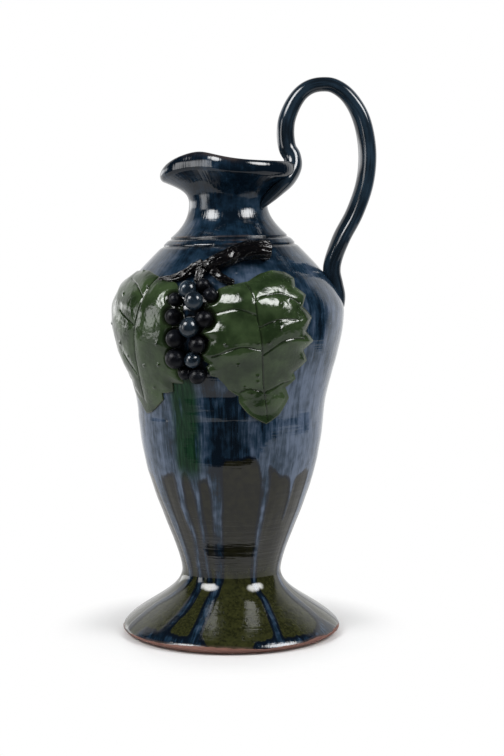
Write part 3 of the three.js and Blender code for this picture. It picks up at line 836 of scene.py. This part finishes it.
def carried(path, outward, out_half, side_half, turn):
    """Section carried along a path: each point is the path, plus the outward direction times a half size
    and the cosine of the turn, plus the sideways direction times its half size and the sine."""
    ahead = unit(np.gradient(path, axis=0))
    out = unit(outward - (outward * ahead).sum(-1, keepdims=True) * ahead)
    side = np.cross(ahead, out)
    out_part = (out_half * np.cos(turn))[..., None] * out[:, None]
    return path[:, None] + out_part + (side_half * np.sin(turn))[..., None] * side[:, None]


def rod_ends(count, first, last):
    """Half sizes along a rod, from 0 at both ends up to 1, as quarter circles over a share of its length at
    the first and at the last end. A share of one step makes a square cut."""
    way = np.linspace(0, 1, count)
    near = np.clip(np.minimum(way / first, (1 - way) / last), 0, 1)
    return np.sqrt(1 - (1 - near) ** 2)[:, None]


def pressed(points, sink):
    """Moves what lies inside the pot straight out to just under its surface."""
    radius = np.hypot(points[..., 0], points[..., 1])
    least = np.where(points[..., 2] < THROAT_Z, wall_radius(points[..., 2]) - sink, 0)
    out = np.maximum(radius, least) / np.maximum(radius, 1e-6)
    return points * np.stack([out, out, np.ones_like(out)], -1)


def rod_fields(path, turn):
    """Numbers for finishes that run along a rod: the way along it, and the turn as cosine and sine."""
    along = size(np.diff(path, axis=0)).sum() * np.linspace(0, 1, len(path))[:, None]
    return {"along": along, "turn_cos": np.cos(turn), "turn_sin": np.sin(turn)}


print("rod helpers ready")

# %% Finish of the handle
HANDLE_BLUES = (0.006, 0.01, 0.015), (0.018, 0.035, 0.055)


def rod_noise(glaze, round_scale, along_scale, detail):
    """Noise on a map of a rod: the turn round it as cosine and sine, and the way along it as height."""
    scales = {"turn_cos": round_scale, "turn_sin": round_scale, "along": along_scale}
    sides = [glaze.field(name) * scale for name, scale in scales.items()]
    return glaze.noise(glaze.add("CombineXYZ", dict(enumerate(sides))), 1.0, detail)


handle = new_finish("handle_glaze")
streak = rod_noise(handle, 4.0, 0.05, 4.0)
cloud = handle.clouds(45.0, 3.0)
colour = handle.blend(handle.ramp(streak * 0.6 + cloud * 0.5, 0.4, 0.75), *HANDLE_BLUES)
HANDLE_GLAZE = handle.finished(colour, cloud * 0.06 + 0.04, streak, 0.00007)

# %% Handle
HANDLE_DEPTH = 12.2
HANDLE_BREADTH = 14.4
HANDLE_ROOT_TAPER = 0.6
HANDLE_CROWN_TAPER = 0.8
HANDLE_CROWN_AT = 0.38
HANDLE_CROWN_SPREAD = 0.1
HANDLE_STEPS = 360
HANDLE_SIDES = 56
HANDLE_FORWARD = 14
FORWARD_SHARE = 0.2
HANDLE_ROOT_SHARE = 0.12
HANDLE_PRESS = 0.6
HANDLE_PRESS_AT = 0.08
HANDLE_PRESS_SPREAD = 0.04
HANDLE_SINK = 0.8
HANDLE_TWIST = 18
LIMB_THINNER = 0.9
LIMB_BROADER = 3.0
RIM_BACK = LIP_RING[0] + LIP_BULGE - NECK_LEAN
SEAT_Z = BELLY_Z + 19
FROM_RIM = np.array([
    (-26, -32), (-20, -25), (-13, -18), (-6.5, -11), (-2.6, -3), (-3.2, 4), (-6, 9), (-7.3, 15.5),
    (-7.5, 22.5), (-6.3, 30), (-2.4, 39.2), (2.8, 46.4), (9.3, 50.8), (17, 52.4), (25.3, 51.3), (34.3, 45),
    (41.8, 33.8), (46.3, 20), (48.1, 3),
]) + (RIM_BACK, RIM_Z)
FROM_SEAT = np.array([
    (21, 66.7), (14.5, 47.8), (6, 31.5), (0.5, 17), (-0.8, 8), (1, -1), (2.5, -9), (1.5, -18),
]) + (wall_radius(SEAT_Z), SEAT_Z)

route = spline(np.vstack([FROM_RIM, FROM_SEAT]), HANDLE_STEPS)
way = np.linspace(0, 1, HANDLE_STEPS)[:, None]
forward = HANDLE_FORWARD * (1 - smooth(way / FORWARD_SHARE))
handle_path = np.hstack([route[:, :1], -forward, route[:, 1:]])
handle_turn = full_turn(HANDLE_SIDES)
root = HANDLE_ROOT_TAPER + (1 - HANDLE_ROOT_TAPER) * smooth(way / HANDLE_ROOT_SHARE)
taper = root * (1 - (1 - HANDLE_CROWN_TAPER) * bell(way - HANDLE_CROWN_AT, HANDLE_CROWN_SPREAD))
ends = rod_ends(HANDLE_STEPS, 0.05, 0.012)
press = 1 + HANDLE_PRESS * bell(way - HANDLE_PRESS_AT, HANDLE_PRESS_SPREAD)
limb = window(way, 0.42, 0.1, 0.9, 0.08)
depth_half = taper * ends * (HANDLE_DEPTH - LIMB_THINNER * limb) / 2
breadth_half = taper * ends * press * (HANDLE_BREADTH + LIMB_BROADER * limb) / 2
ahead = unit(np.gradient(handle_path, axis=0))
handle_out = unit(np.cross(ahead, (0, 1, 0)))
twist = np.radians(HANDLE_TWIST) * limb
handle_out = np.cos(twist) * handle_out - np.sin(twist) * np.cross(ahead, handle_out)
handle_grid = carried(handle_path, handle_out, depth_half, breadth_half, handle_turn)
handle_grid = pressed(handle_grid, HANDLE_SINK)
handle_fields = rod_fields(handle_path, np.repeat(handle_turn, HANDLE_STEPS, 0))
add_piece("pulled_handle", "handle", HANDLE_GLAZE, handle_grid, handle_fields)

# %% [markdown]
# ## Branch and stalks
# The branch is a rope of clay scored to look like bark, cut square at its free end. A plain tube with a
# bump would show a smooth outline, so the bark is in the shape: ridges that wind along the rod, broken up
# by noise. The stalks are the same thing, thinner, and all four lie on the wall and sink into it a little.

# %% Finish of the bark
BARK_BLACKS = (0.0015, 0.0015, 0.002), (0.005, 0.0045, 0.005)
BARK_BROWN = (0.03, 0.021, 0.015)

bark = new_finish("bark_glaze")
streak = rod_noise(bark, 3.0, 0.12, 5.0)
speck = bark.clouds(420.0, 3.0)
colour = bark.blend(bark.ramp(streak, 0.35, 0.7), *BARK_BLACKS)
colour = bark.blend(bark.field("ridge") * bark.ramp(speck, 0.55, 0.85), colour, BARK_BROWN)
BARK_GLAZE = bark.finished(colour, speck * 0.06 + 0.02, streak + speck * 0.5, 0.0006)

# %% Branch and stalks
BRANCH_PLACES = [
    (23.6, 17.3, 6.4), (16.5, 16.8, 6.4), (9.8, 17.3, 6.2), (3.2, 19.9, 6), (-1.9, 23.3, 5.6),
    (-10.2, 27.1, 5), (-16.1, 31.1, 4.6),
]
LEFT_STALK_PLACES = [
    (-15.3, 26.5, 4.6), (-21.3, 29.4, 3.8), (-26.8, 32.8, 3.2), (-31.4, 35.6, 2.8), (-40.9, 38.6, 2.4),
    (-49.7, 38.2, 2.4),
]
RIGHT_STALK_PLACES = [(-11, 32, 4), (-5.4, 36.8, 3.2), (-0.9, 39.7, 3), (3.1, 41.5, 3)]
BUNCH_STALK_PLACES = [(-16.6, 31, 4), (-19, 35.3, 3.2), (-20.9, 41, 2.8)]
BRANCH_RADIUS = 7.2
STALK_RADIUS = 3.4
BRANCH_END_TAPER = 0.62
STALK_END_TAPER = 0.65
BARK_SIDES = 90
BARK_STRETCH = 0.3
VINE_SINK = 0.5


def bark_rod(name, places, radius, taper, steps, ridges, depth, first, seed):
    """Rod on the wall with bark: its radius is lowered by a depth of winding ridges, the square root of a
    sine's size, and by two lengths of noise that are drawn out along the rod. Its first end is rounded over
    a share of its length."""
    across, drop, lift = spline(places, steps).T
    path = on_wall(across, drop, lift)
    outward = on_wall(across, drop, lift + 1) - path
    turn = full_turn(BARK_SIDES).repeat(steps, 0)
    fields = rod_fields(path, turn)
    way = np.linspace(0, 1, steps)[:, None]
    drawn_out = fields["along"] * BARK_STRETCH + 0 * turn
    grain = np.stack([fields["turn_cos"] * radius, fields["turn_sin"] * radius, drawn_out], -1)
    wander = 0.7 * ripple(grain, 2.4 * radius, seed)
    wave = np.abs(np.sin(ridges / 2 * (turn + 0.8 * way + wander)))
    bark = depth * (np.sqrt(wave) - 1) + 0.5 * depth * ripple(grain, 0.6 * radius, seed + 1)
    bark = bark + 0.06 * radius * ripple(grain * (1, 1, 3), 2.4 * radius, seed + 2)
    half = (radius * (1 - (1 - taper) * way) + bark) * rod_ends(steps, first, 0.1)
    grid = pressed(carried(path, outward, half, half, turn), VINE_SINK)
    fields["ridge"] = smooth((wave - 0.6) / 0.4)
    add_piece(name, name.replace("bark_", ""), BARK_GLAZE, grid, fields)


bark_rod("bark_vine_branch", BRANCH_PLACES, BRANCH_RADIUS, BRANCH_END_TAPER, 200, 19, 0.5, 0.005, 21)
bark_rod("bark_left_leaf_stalk", LEFT_STALK_PLACES, STALK_RADIUS, STALK_END_TAPER, 150, 7, 0.6, 0.05, 22)
bark_rod("bark_right_leaf_stalk", RIGHT_STALK_PLACES, STALK_RADIUS, STALK_END_TAPER, 110, 5, 0.25, 0.08, 23)
bark_rod("bark_bunch_stalk", BUNCH_STALK_PLACES, STALK_RADIUS, STALK_END_TAPER, 90, 6, 0.5, 0.1, 24)

# %% [markdown]
# ## Grapes
# Each grape is a ball rolled between the palms and pressed on: nearly round, never quite. A sphere is a
# grid of latitudes and longitudes, with a little noise in its radius, and the side towards the pot is
# flattened where it meets the wall.

# %% Finish of the grapes
# Two copies of one glaze: the shaded one is painted darker, with dimmer and broader reflections, as painted
# shade on grapes sunk among the leaves.
LIT_BLUES = (0.005, 0.009, 0.014), (0.02, 0.034, 0.05)
SHADED_BLUES = (0.002, 0.002, 0.003), (0.006, 0.007, 0.01)
GRAPE_BROWN = (0.06, 0.035, 0.022)
SHADED_IOR = 1.22


def grape_glaze(name, blues, gloss, ior):
    """Clouded blue that wears to brown where the ball meets the wall."""
    glaze = new_finish(name)
    cloud = glaze.clouds(130.0, 3.0)
    speck = glaze.clouds(700.0, 2.0)
    colour = glaze.blend(glaze.ramp(cloud, 0.35, 0.7), *blues)
    colour = glaze.blend(glaze.field("root") * glaze.ramp(cloud, 0.45, 0.6), colour, GRAPE_BROWN)
    return glaze.finished(colour, speck * 0.1 + gloss, cloud + speck * 0.15, 0.0003, ior)


LIT_GRAPE_GLAZE = grape_glaze("lit_grape_glaze", LIT_BLUES, 0.15, GLAZE_IOR)
SHADED_GRAPE_GLAZE = grape_glaze("shaded_grape_glaze", SHADED_BLUES, 0.3, SHADED_IOR)

# %% Grapes on the wall
GRAPE_RINGS = 34
GRAPE_SIDES = 52
LIT_GRAPES = (1, 2, 3, 4)


def grape(order, across, drop, lift, radius):
    """Ball on the wall: its axis is the wall's normal, and its radius varies by a few hundredths."""
    centre = on_wall(across, drop, lift)
    out = unit(on_wall(across, drop, lift + 1) - centre)
    side = unit(np.cross(out, (0, 0, 1)))
    fall = np.linspace(0, np.pi, GRAPE_RINGS)[:, None]
    turn = full_turn(GRAPE_SIDES)
    parts = (np.cos(fall) + 0 * turn, np.sin(fall) * np.cos(turn), np.sin(fall) * np.sin(turn))
    ball = sum(part[..., None] * axis for part, axis in zip(parts, (out, side, np.cross(out, side))))
    ball = ball * (radius * (0.985 + 0.018 * ripple(ball, 1.6, 40 + order)))[..., None]
    fields = {"root": smooth(fall / np.pi * 4 - 2.1)}
    # Grapes other than the lit ones take the shaded copy of the glaze, which is painted shade.
    finish = LIT_GRAPE_GLAZE if order in LIT_GRAPES else SHADED_GRAPE_GLAZE
    add_piece(f"rolled_grape_{order:02d}", f"grape_{order:02d}", finish,
              pressed(centre + ball, VINE_SINK), fields)


for order, numbers in enumerate(GRAPES, 1):
    grape(order, *numbers)

# %% [markdown]
# ## Leaves
# The leaves were cut from a slab, scored with veins and pressed on. A leaf could be a flat plate with a
# texture, but its swelling between the veins and its thick toothed edge catch the light, so they are in
# the shape. The grid runs from the leaf's heart out to its outline, over the rounded edge, and back under
# it, and the lift of each point adds up a crown, pillows between the veins, cut lines and pimples of clay.

# %% Outlines, veins and pimples, as [across, along] from the stalk
LEAF_HEART = 44
RIGHT_LEAF = {
    "place": (7.5, 39.5),
    "lean": 11,
    "outline": [
        (4, 1), (12, -3.5), (21, -5), (30, -1.5), (36, 5), (35, 11.5), (42, 19), (37.5, 25.5), (43.5, 33.5),
        (37, 41), (43, 49), (33.5, 53), (36, 61.5), (24, 67), (25, 72), (16, 76), (17.5, 84), (8, 93.5),
        (-2, 97.5), (-12, 89), (-17, 79.5), (-16.5, 75), (-24, 66.5), (-27, 59.5), (-37, 54), (-30, 49),
        (-38, 42), (-26.5, 33.5), (-33, 28.5), (-22, 21), (-27.5, 12.5), (-25, 8), (-20, 4), (-12, 2),
        (-4, 1.5),
    ],
    "veins": [
        [(0.8, 0), (3.8, 13), (4.3, 23.5), (4.2, 37), (2.8, 51), (0.7, 68), (0, 75), (-0.7, 96)],
        [(4.2, 24), (-7.8, 18.5), (-20.6, 18)],
        [(3.6, 17), (11.7, 15), (23, 15.2), (34.5, 23)],
        [(4.3, 31), (17.6, 29), (29, 31.5)],
        [(3.2, 48.5), (15.7, 42.5), (24, 42), (33, 44.5)],
        [(3.4, 45), (-9, 40.5), (-27, 44)],
        [(0, 75), (13, 72), (19.6, 72.3)],
        [(0, 75), (-8.7, 70.6), (-15.2, 72)],
    ],
    "pimples": [
        (17.3, 30.2), (16.6, 34), (-16.9, 37), (1.7, 40.1), (8, 40.8), (-12.4, 51.5), (-2, 62.2),
        (-2.8, 66.3), (-11.4, 68.6), (-8.1, 74.2), (27, 19), (20, 21),
    ],
    "folds": [(5.0, -2, 13, 22), (-4.0, -27, 11, 24)],
    "swells": [(3.2, 38, 13), (1.6, 87, 6)],
}
LEFT_LEAF = {
    "place": (-49.5, 36),
    "lean": -11,
    "outline": [
        (4, 1), (15, 2), (21.5, 13), (23, 19.5), (27, 27), (21, 34), (23.5, 45), (27, 58), (32.5, 67),
        (24, 68.5), (25.5, 74.5), (16.5, 78), (18, 82.5), (7.5, 94), (1, 97), (-7, 92.5), (-20, 87),
        (-24, 80), (-36, 78), (-46, 71), (-53, 66), (-53, 57), (-60, 49), (-56, 40), (-61, 31), (-54, 22),
        (-53, 14), (-40, 8), (-31, 2.5), (-23, 0.5), (-12, -2), (-5, -0.5),
    ],
    "veins": [
        [(0.2, 0), (-4.7, 13.5), (-10, 36), (-9.2, 52.7), (-5.4, 71), (-2, 87.5), (0.5, 96)],
        [(-11, 36), (-19, 33.5), (-28.4, 31.3)],
        [(-7.5, 70), (-17, 64.5), (-26.3, 58.9)],
        [(-6, 19), (-17, 12), (-28, 10)],
    ],
    "pimples": [
        (-28.1, 21.4), (-45.5, 43.3), (-27, 51.8), (-26.3, 58.9), (-16.7, 58.5), (1.7, 60.1), (13.7, 56.9),
        (-4.6, 11), (-18.2, 0), (10.8, 42.8), (10.8, 74.4),
    ],
    "folds": [],
    "swells": [],
}
print("leaves:", len(RIGHT_LEAF["veins"]) + len(LEFT_LEAF["veins"]), "veins")

# %% Shape of a leaf
LEAF_EDGE = 2.4
LEAF_CROWN = 2.8
DOME_REACH = 7
EDGE_POINTS = 15
VEIN_HALF = 0.5
VEIN_DEPTH = 0.6
PILLOW_REACH = 4.0
PILLOW_RISE = 0.8
PIMPLE_RADIUS = 1.1
PIMPLE_RISE = 0.8
LEAF_FALL = 0.07


def bowed_outline(outline):
    """Closed edge through the outline's points, each side bowed out by a fortieth of its length."""
    start = np.array(outline, float)[:, None]
    end = np.roll(start, -1, 0)
    t = np.linspace(0, 1, EDGE_POINTS, endpoint=False)[None, :, None]
    along = end - start
    outward = np.stack([along[..., 1], -along[..., 0]], -1)
    turned = np.sign((outward * ((start + end) / 2 - (0, LEAF_HEART))).sum(-1, keepdims=True))
    return (start + t * along + turned * outward * t * (1 - t) / 10).reshape(-1, 2)


def leaf_lift(spots, leaf):
    """Lift of the leaf's upper face over the wall: its edge, plus a dome that grows with the distance from
    the outline as 1 - exp(-distance / reach), pillows away from the veins, folds beside the midrib, swells
    across the leaf, fine dents and pimples, less the cut of the veins. Also gives how near each point is to
    a vein or a pimple."""
    gap = distance_to(spots, leaf["outline"] + leaf["outline"][:1])
    vein = np.min([distance_to(spots, spline(line, 12)) for line in leaf["veins"]], 0)
    dome = 1 - np.exp(-gap / DOME_REACH)
    lift = LEAF_EDGE + LEAF_CROWN * dome + PILLOW_RISE * (1 - bell(vein, PILLOW_REACH)) * dome
    beside = spots[..., 0] - np.interp(spots[..., 1], *np.array(leaf["veins"][0], float)[:, ::-1].T)
    for rise, middle, half, end in leaf["folds"]:
        lift = lift + rise * bell(beside - middle, half) * dome * smooth((end + 6 - spots[..., 1]) / 12)
    for rise, middle, half in leaf["swells"]:
        lift = lift + rise * bell(spots[..., 1] - middle, half) * dome
    lift = lift - LEAF_FALL * np.maximum(spots[..., 1] - LEAF_HEART, 0)
    dents = 0.05 * ripple(spots, 7, 6) + 0.022 * ripple(spots, 3, 7)
    lift = lift + 0.08 * ripple(spots, 17, 5) + dome * dents
    away = np.min([size(spots - pimple) for pimple in leaf["pimples"]], 0)
    dots = bell(away, PIMPLE_RADIUS)
    cut = bell(vein, VEIN_HALF) * smooth(gap / 2)
    return lift + PIMPLE_RISE * dots - VEIN_DEPTH * cut, np.maximum(cut, dots)


print("leaf edge stands", LEAF_EDGE, "mm over the wall")

# %% Grid of a leaf
TOP_RINGS = 84
ROLL_RINGS = 6
UNDER_RINGS = 7
LEAF_ROLL = 1.0
LEAF_SINK = 0.4
LEAF_LEAST = 1.2
POOL_DIP = 2.0


def leaf_grid(leaf):
    """Grid of a leaf and its fields. Rows go out over the upper face at growing shares of the way from
    the heart to the outline, round the edge on a quarter circle, down it, and back under the leaf."""
    outline = bowed_outline(leaf["outline"])
    out = outline - (0, LEAF_HEART)
    length = size(out)[None]
    inset = 1 - LEAF_ROLL / length
    top_share = np.linspace(0, 1, TOP_RINGS)[:, None] * inset
    roll = np.radians(np.linspace(15, 90, ROLL_RINGS))[:, None]
    roll_share = inset + (1 - inset) * np.sin(roll)
    under_share = np.linspace(1, 0, UNDER_RINGS)[:, None] * np.ones_like(length)
    share = np.vstack([top_share, roll_share, np.ones_like(length), under_share])
    spots = (0, LEAF_HEART) + share[..., None] * out
    lean = np.radians(leaf["lean"])
    right = leaf["place"][0] + spots[..., 0] * np.cos(lean) + spots[..., 1] * np.sin(lean)
    down = leaf["place"][1] + spots[..., 1] * np.cos(lean) - spots[..., 0] * np.sin(lean)
    pool = grape_shade(right, down)
    lift, vein = leaf_lift(spots, leaf)
    lift = np.maximum(lift - POOL_DIP * pool, LEAF_LEAST)
    lift[TOP_RINGS:TOP_RINGS + ROLL_RINGS] = lift[TOP_RINGS - 1] - LEAF_ROLL * (1 - np.cos(roll))
    lift[TOP_RINGS + ROLL_RINGS:] = -LEAF_SINK
    fields = {"vein": vein, "rim": smooth(1 - (1 - share) * length / 1.4), "pool": pool}
    return on_wall(right, down, lift), fields


print("leaf rings:", TOP_RINGS + ROLL_RINGS + 1 + UNDER_RINGS)

# %% Finish of the leaves
LEAF_GREENS = (0.013, 0.025, 0.009), (0.039, 0.064, 0.026)
VEIN_GREEN = (0.003, 0.006, 0.002)
RIM_BREAK_AND_SHEEN = (0.06, 0.056, 0.03)
LEAF_SHADE = (0.004, 0.004, 0.003)

green = new_finish("leaf_glaze")
cloud = green.clouds(70.0, 4.0)
speck = green.clouds(500.0, 2.0)
colour = green.blend(green.ramp(cloud, 0.32, 0.7), *LEAF_GREENS)
colour = green.blend(green.field("vein") * 0.7, colour, VEIN_GREEN)
# Along the rounded edge the glaze thins to ochre, and this paler colour is also a painted highlight on the
# rim.
colour = green.blend(green.field("rim") * green.ramp(speck, 0.35, 0.65) * 0.6, colour, RIM_BREAK_AND_SHEEN)
# Painted shade on the leaves round the grapes.
colour = green.blend(green.field("pool") * 0.9, colour, LEAF_SHADE)
LEAF_GLAZE = green.finished(colour, speck * 0.1 + 0.08, cloud + speck * 0.2, 0.00055)

# %% Leaves on the wall
for side, leaf in (("right", RIGHT_LEAF), ("left", LEFT_LEAF)):
    points, numbers = leaf_grid(leaf)
    add_piece(f"slab_{side}_leaf", f"{side}_leaf", LEAF_GLAZE, points, numbers)

# %% [markdown]
# ## Floor, light and camera
# A glossy dark pot shows its surroundings more than its colour. It stands on a pale table in front of a
# white background, with two soft boxes before it to the left and right, and a dim room beyond the table's
# edge. The table turns to pure white away from the pot, so that no edge shows, and the world is white to
# the camera. To reflections it is white only behind the pot, where the background is, and two pale panels
# at the left give the soft glints on that side.

# %% Floor
TABLE_LEFT = -0.9
TABLE_RIGHT = 0.65
TABLE_FRONT = -0.3
TABLE_BACK = 0.6
TABLE_DROP = 0.0004
TABLE_COLOUR = (0.94, 0.94, 0.94)
TABLE_ROUGHNESS = 0.45
MIRROR_DIMMING = 0.2
WHITE_OUTSIDE = (0.072, 0.13)
WHITE_UNDER = (0.068, 0.066)
WHITE = (1, 1, 1)


def floor_finish():
    """Pale table that eases to pure white between the WHITE_OUTSIDE distances from the axis, in metres, and
    inside the WHITE_UNDER ones, where it lights the bare base. It can't be seen from below."""
    table = new_finish("pale_table")
    table.put(table.shader.inputs["Base Color"], TABLE_COLOUR)
    table.put(table.shader.inputs["Roughness"], TABLE_ROUGHNESS)
    reach = table.vector("LENGTH", {0: table.place()}, "Value")
    glow = 1.0 - table.add("LightPath", {}, "Is Glossy Ray") * MIRROR_DIMMING
    white = table.add("Emission", {"Color": WHITE, "Strength": glow})
    share = table.calc("MAXIMUM", table.ramp(reach, *WHITE_OUTSIDE), table.ramp(reach, *WHITE_UNDER))
    plain = Wire(table, table.shader.outputs[0])
    above = table.add("MixShader", {0: share, 1: plain, 2: white})
    below = table.add("NewGeometry", {}, "Backfacing")
    seen = table.add("MixShader", {0: below, 1: above, 2: table.add("BsdfTransparent", {})})
    table.put(table.tree.nodes["Material Output"].inputs["Surface"], seen)
    return table.block


floor_points = np.array([
    (TABLE_LEFT, TABLE_FRONT, -TABLE_DROP), (TABLE_RIGHT, TABLE_FRONT, -TABLE_DROP),
    (TABLE_RIGHT, TABLE_BACK, -TABLE_DROP), (TABLE_LEFT, TABLE_BACK, -TABLE_DROP),
])
floor_mesh = bpy.data.meshes.new("table_top")
floor_mesh.from_pydata(floor_points, [], [np.arange(4)])
floor_mesh.materials.append(floor_finish())
floor = placed("table_top", floor_mesh)
print("table:", TABLE_RIGHT - TABLE_LEFT, "m wide,", TABLE_BACK - TABLE_FRONT, "m deep")

# %% World
SOFT_BOXES = {"soft_box_left": -54, "soft_box_right": 63}
LIGHT_ELEVATION = 37
PANELS = [(-75, 8, -0.3, 0.3, 5.0), (-130, 20, -0.06, 0.12, 3.2)]
PANEL_SOFT_ANGLE = 5
PANEL_SOFT_RISE = 0.05
BACKGROUND_SIDES = (0.36, 0.52)
BACKGROUND_TOP = (0.85, 0.5)
BOX_EDGE = (0.94, 0.992)
BOX_GLOW = (20, 20, 20)
ROOM = (0.02, 0.02, 0.022)
FILL = (0.45, 0.45, 0.45)


def toward(azimuth, elevation):
    """Direction from the pot, as degrees round from the camera's side and degrees up."""
    turn, rise = np.radians((azimuth, elevation))
    return round_axis(np.cos(rise), turn, np.sin(rise))


def studio_world():
    """World that is white to the camera and an even grey to everything but reflections. Reflections see a
    dim room, a white background behind the pot, two pale panels, given as [azimuth, half width, lowest and
    highest sine of elevation, glow], and two soft round lights."""
    studio = Wiring(bpy.data.worlds.new("studio"))
    ramp, blend = studio.ramp, studio.blend
    look = studio.add("TexCoord", {}, "Generated")
    back, up = (studio.add("SeparateXYZ", {0: look}, axis) for axis in "YZ")
    mirrored = blend(ramp(back, *BACKGROUND_SIDES) * ramp(up, *BACKGROUND_TOP), ROOM, WHITE)
    level = studio.level(look)
    for azimuth, half, low, high, glow in PANELS:
        side = studio.vector("DOT_PRODUCT", {0: level, 1: toward(azimuth, 0)}, "Value")
        outer, inner = np.cos(np.radians((half + PANEL_SOFT_ANGLE, half - PANEL_SOFT_ANGLE)))
        rising = ramp(up, low - PANEL_SOFT_RISE, low + PANEL_SOFT_RISE)
        falling = ramp(up, high + PANEL_SOFT_RISE, high - PANEL_SOFT_RISE)
        panel = ramp(side, float(outer), float(inner)) * (rising * falling)
        mirrored = blend(panel, mirrored, (glow, glow, glow))
    for azimuth in SOFT_BOXES.values():
        near = studio.vector("DOT_PRODUCT", {0: look, 1: toward(azimuth, LIGHT_ELEVATION)}, "Value")
        mirrored = blend(ramp(near, *BOX_EDGE), mirrored, BOX_GLOW)
    glossy, clear, seen = (
        studio.add("LightPath", {}, f"Is {kind} Ray") for kind in ("Glossy", "Transmission", "Camera")
    )
    colour = blend(studio.calc("MAXIMUM", glossy, clear), FILL, mirrored)
    studio.put(studio.tree.nodes["Background"].inputs["Color"], blend(seen, colour, WHITE))
    return studio.block


scene.world = studio_world()
print("world:", len(scene.world.node_tree.nodes), "nodes")

# %% Soft boxes
LIGHT_TARGET = np.array((0, 0, 0.22))
LIGHT_DISTANCE = 1.3
LIGHT_SIZE = 0.45
LIGHT_POWER = 9.5


def soft_box(name, azimuth):
    """Square lamp on a circle round the pot, turned to face it. Its soft glow in the world stands for it
    in reflections."""
    lamp = bpy.data.lights.new(name, "AREA")
    lamp.shape = "SQUARE"
    lamp.size = LIGHT_SIZE
    lamp.energy = LIGHT_POWER
    box = placed(name, lamp)
    box.location = LIGHT_TARGET + toward(azimuth, LIGHT_ELEVATION) * LIGHT_DISTANCE
    box.rotation_euler = (np.radians(90 - LIGHT_ELEVATION), 0, np.radians(azimuth))
    box.visible_glossy = False


for box_name, box_azimuth in SOFT_BOXES.items():
    soft_box(box_name, box_azimuth)
print("soft boxes at", LIGHT_DISTANCE, "m")

# %% Camera
CAMERA_PLACE = (0.0144, -1.119, 0.279)
CAMERA_PITCH = 5.316
FOCAL_PIXELS = 1634
FRAME_HEIGHT = 756
SENSOR = 36

camera_data = bpy.data.cameras.new("photo_view")
camera_data.sensor_width = SENSOR
camera_data.lens = FOCAL_PIXELS / FRAME_HEIGHT * SENSOR
camera = placed("photo_view", camera_data)
camera.location = CAMERA_PLACE
camera.rotation_euler = (np.radians(90 - CAMERA_PITCH), 0, 0)
scene.camera = camera
scene.view_settings.view_transform = "Standard"
print("lens", round(camera_data.lens, 2), "mm")
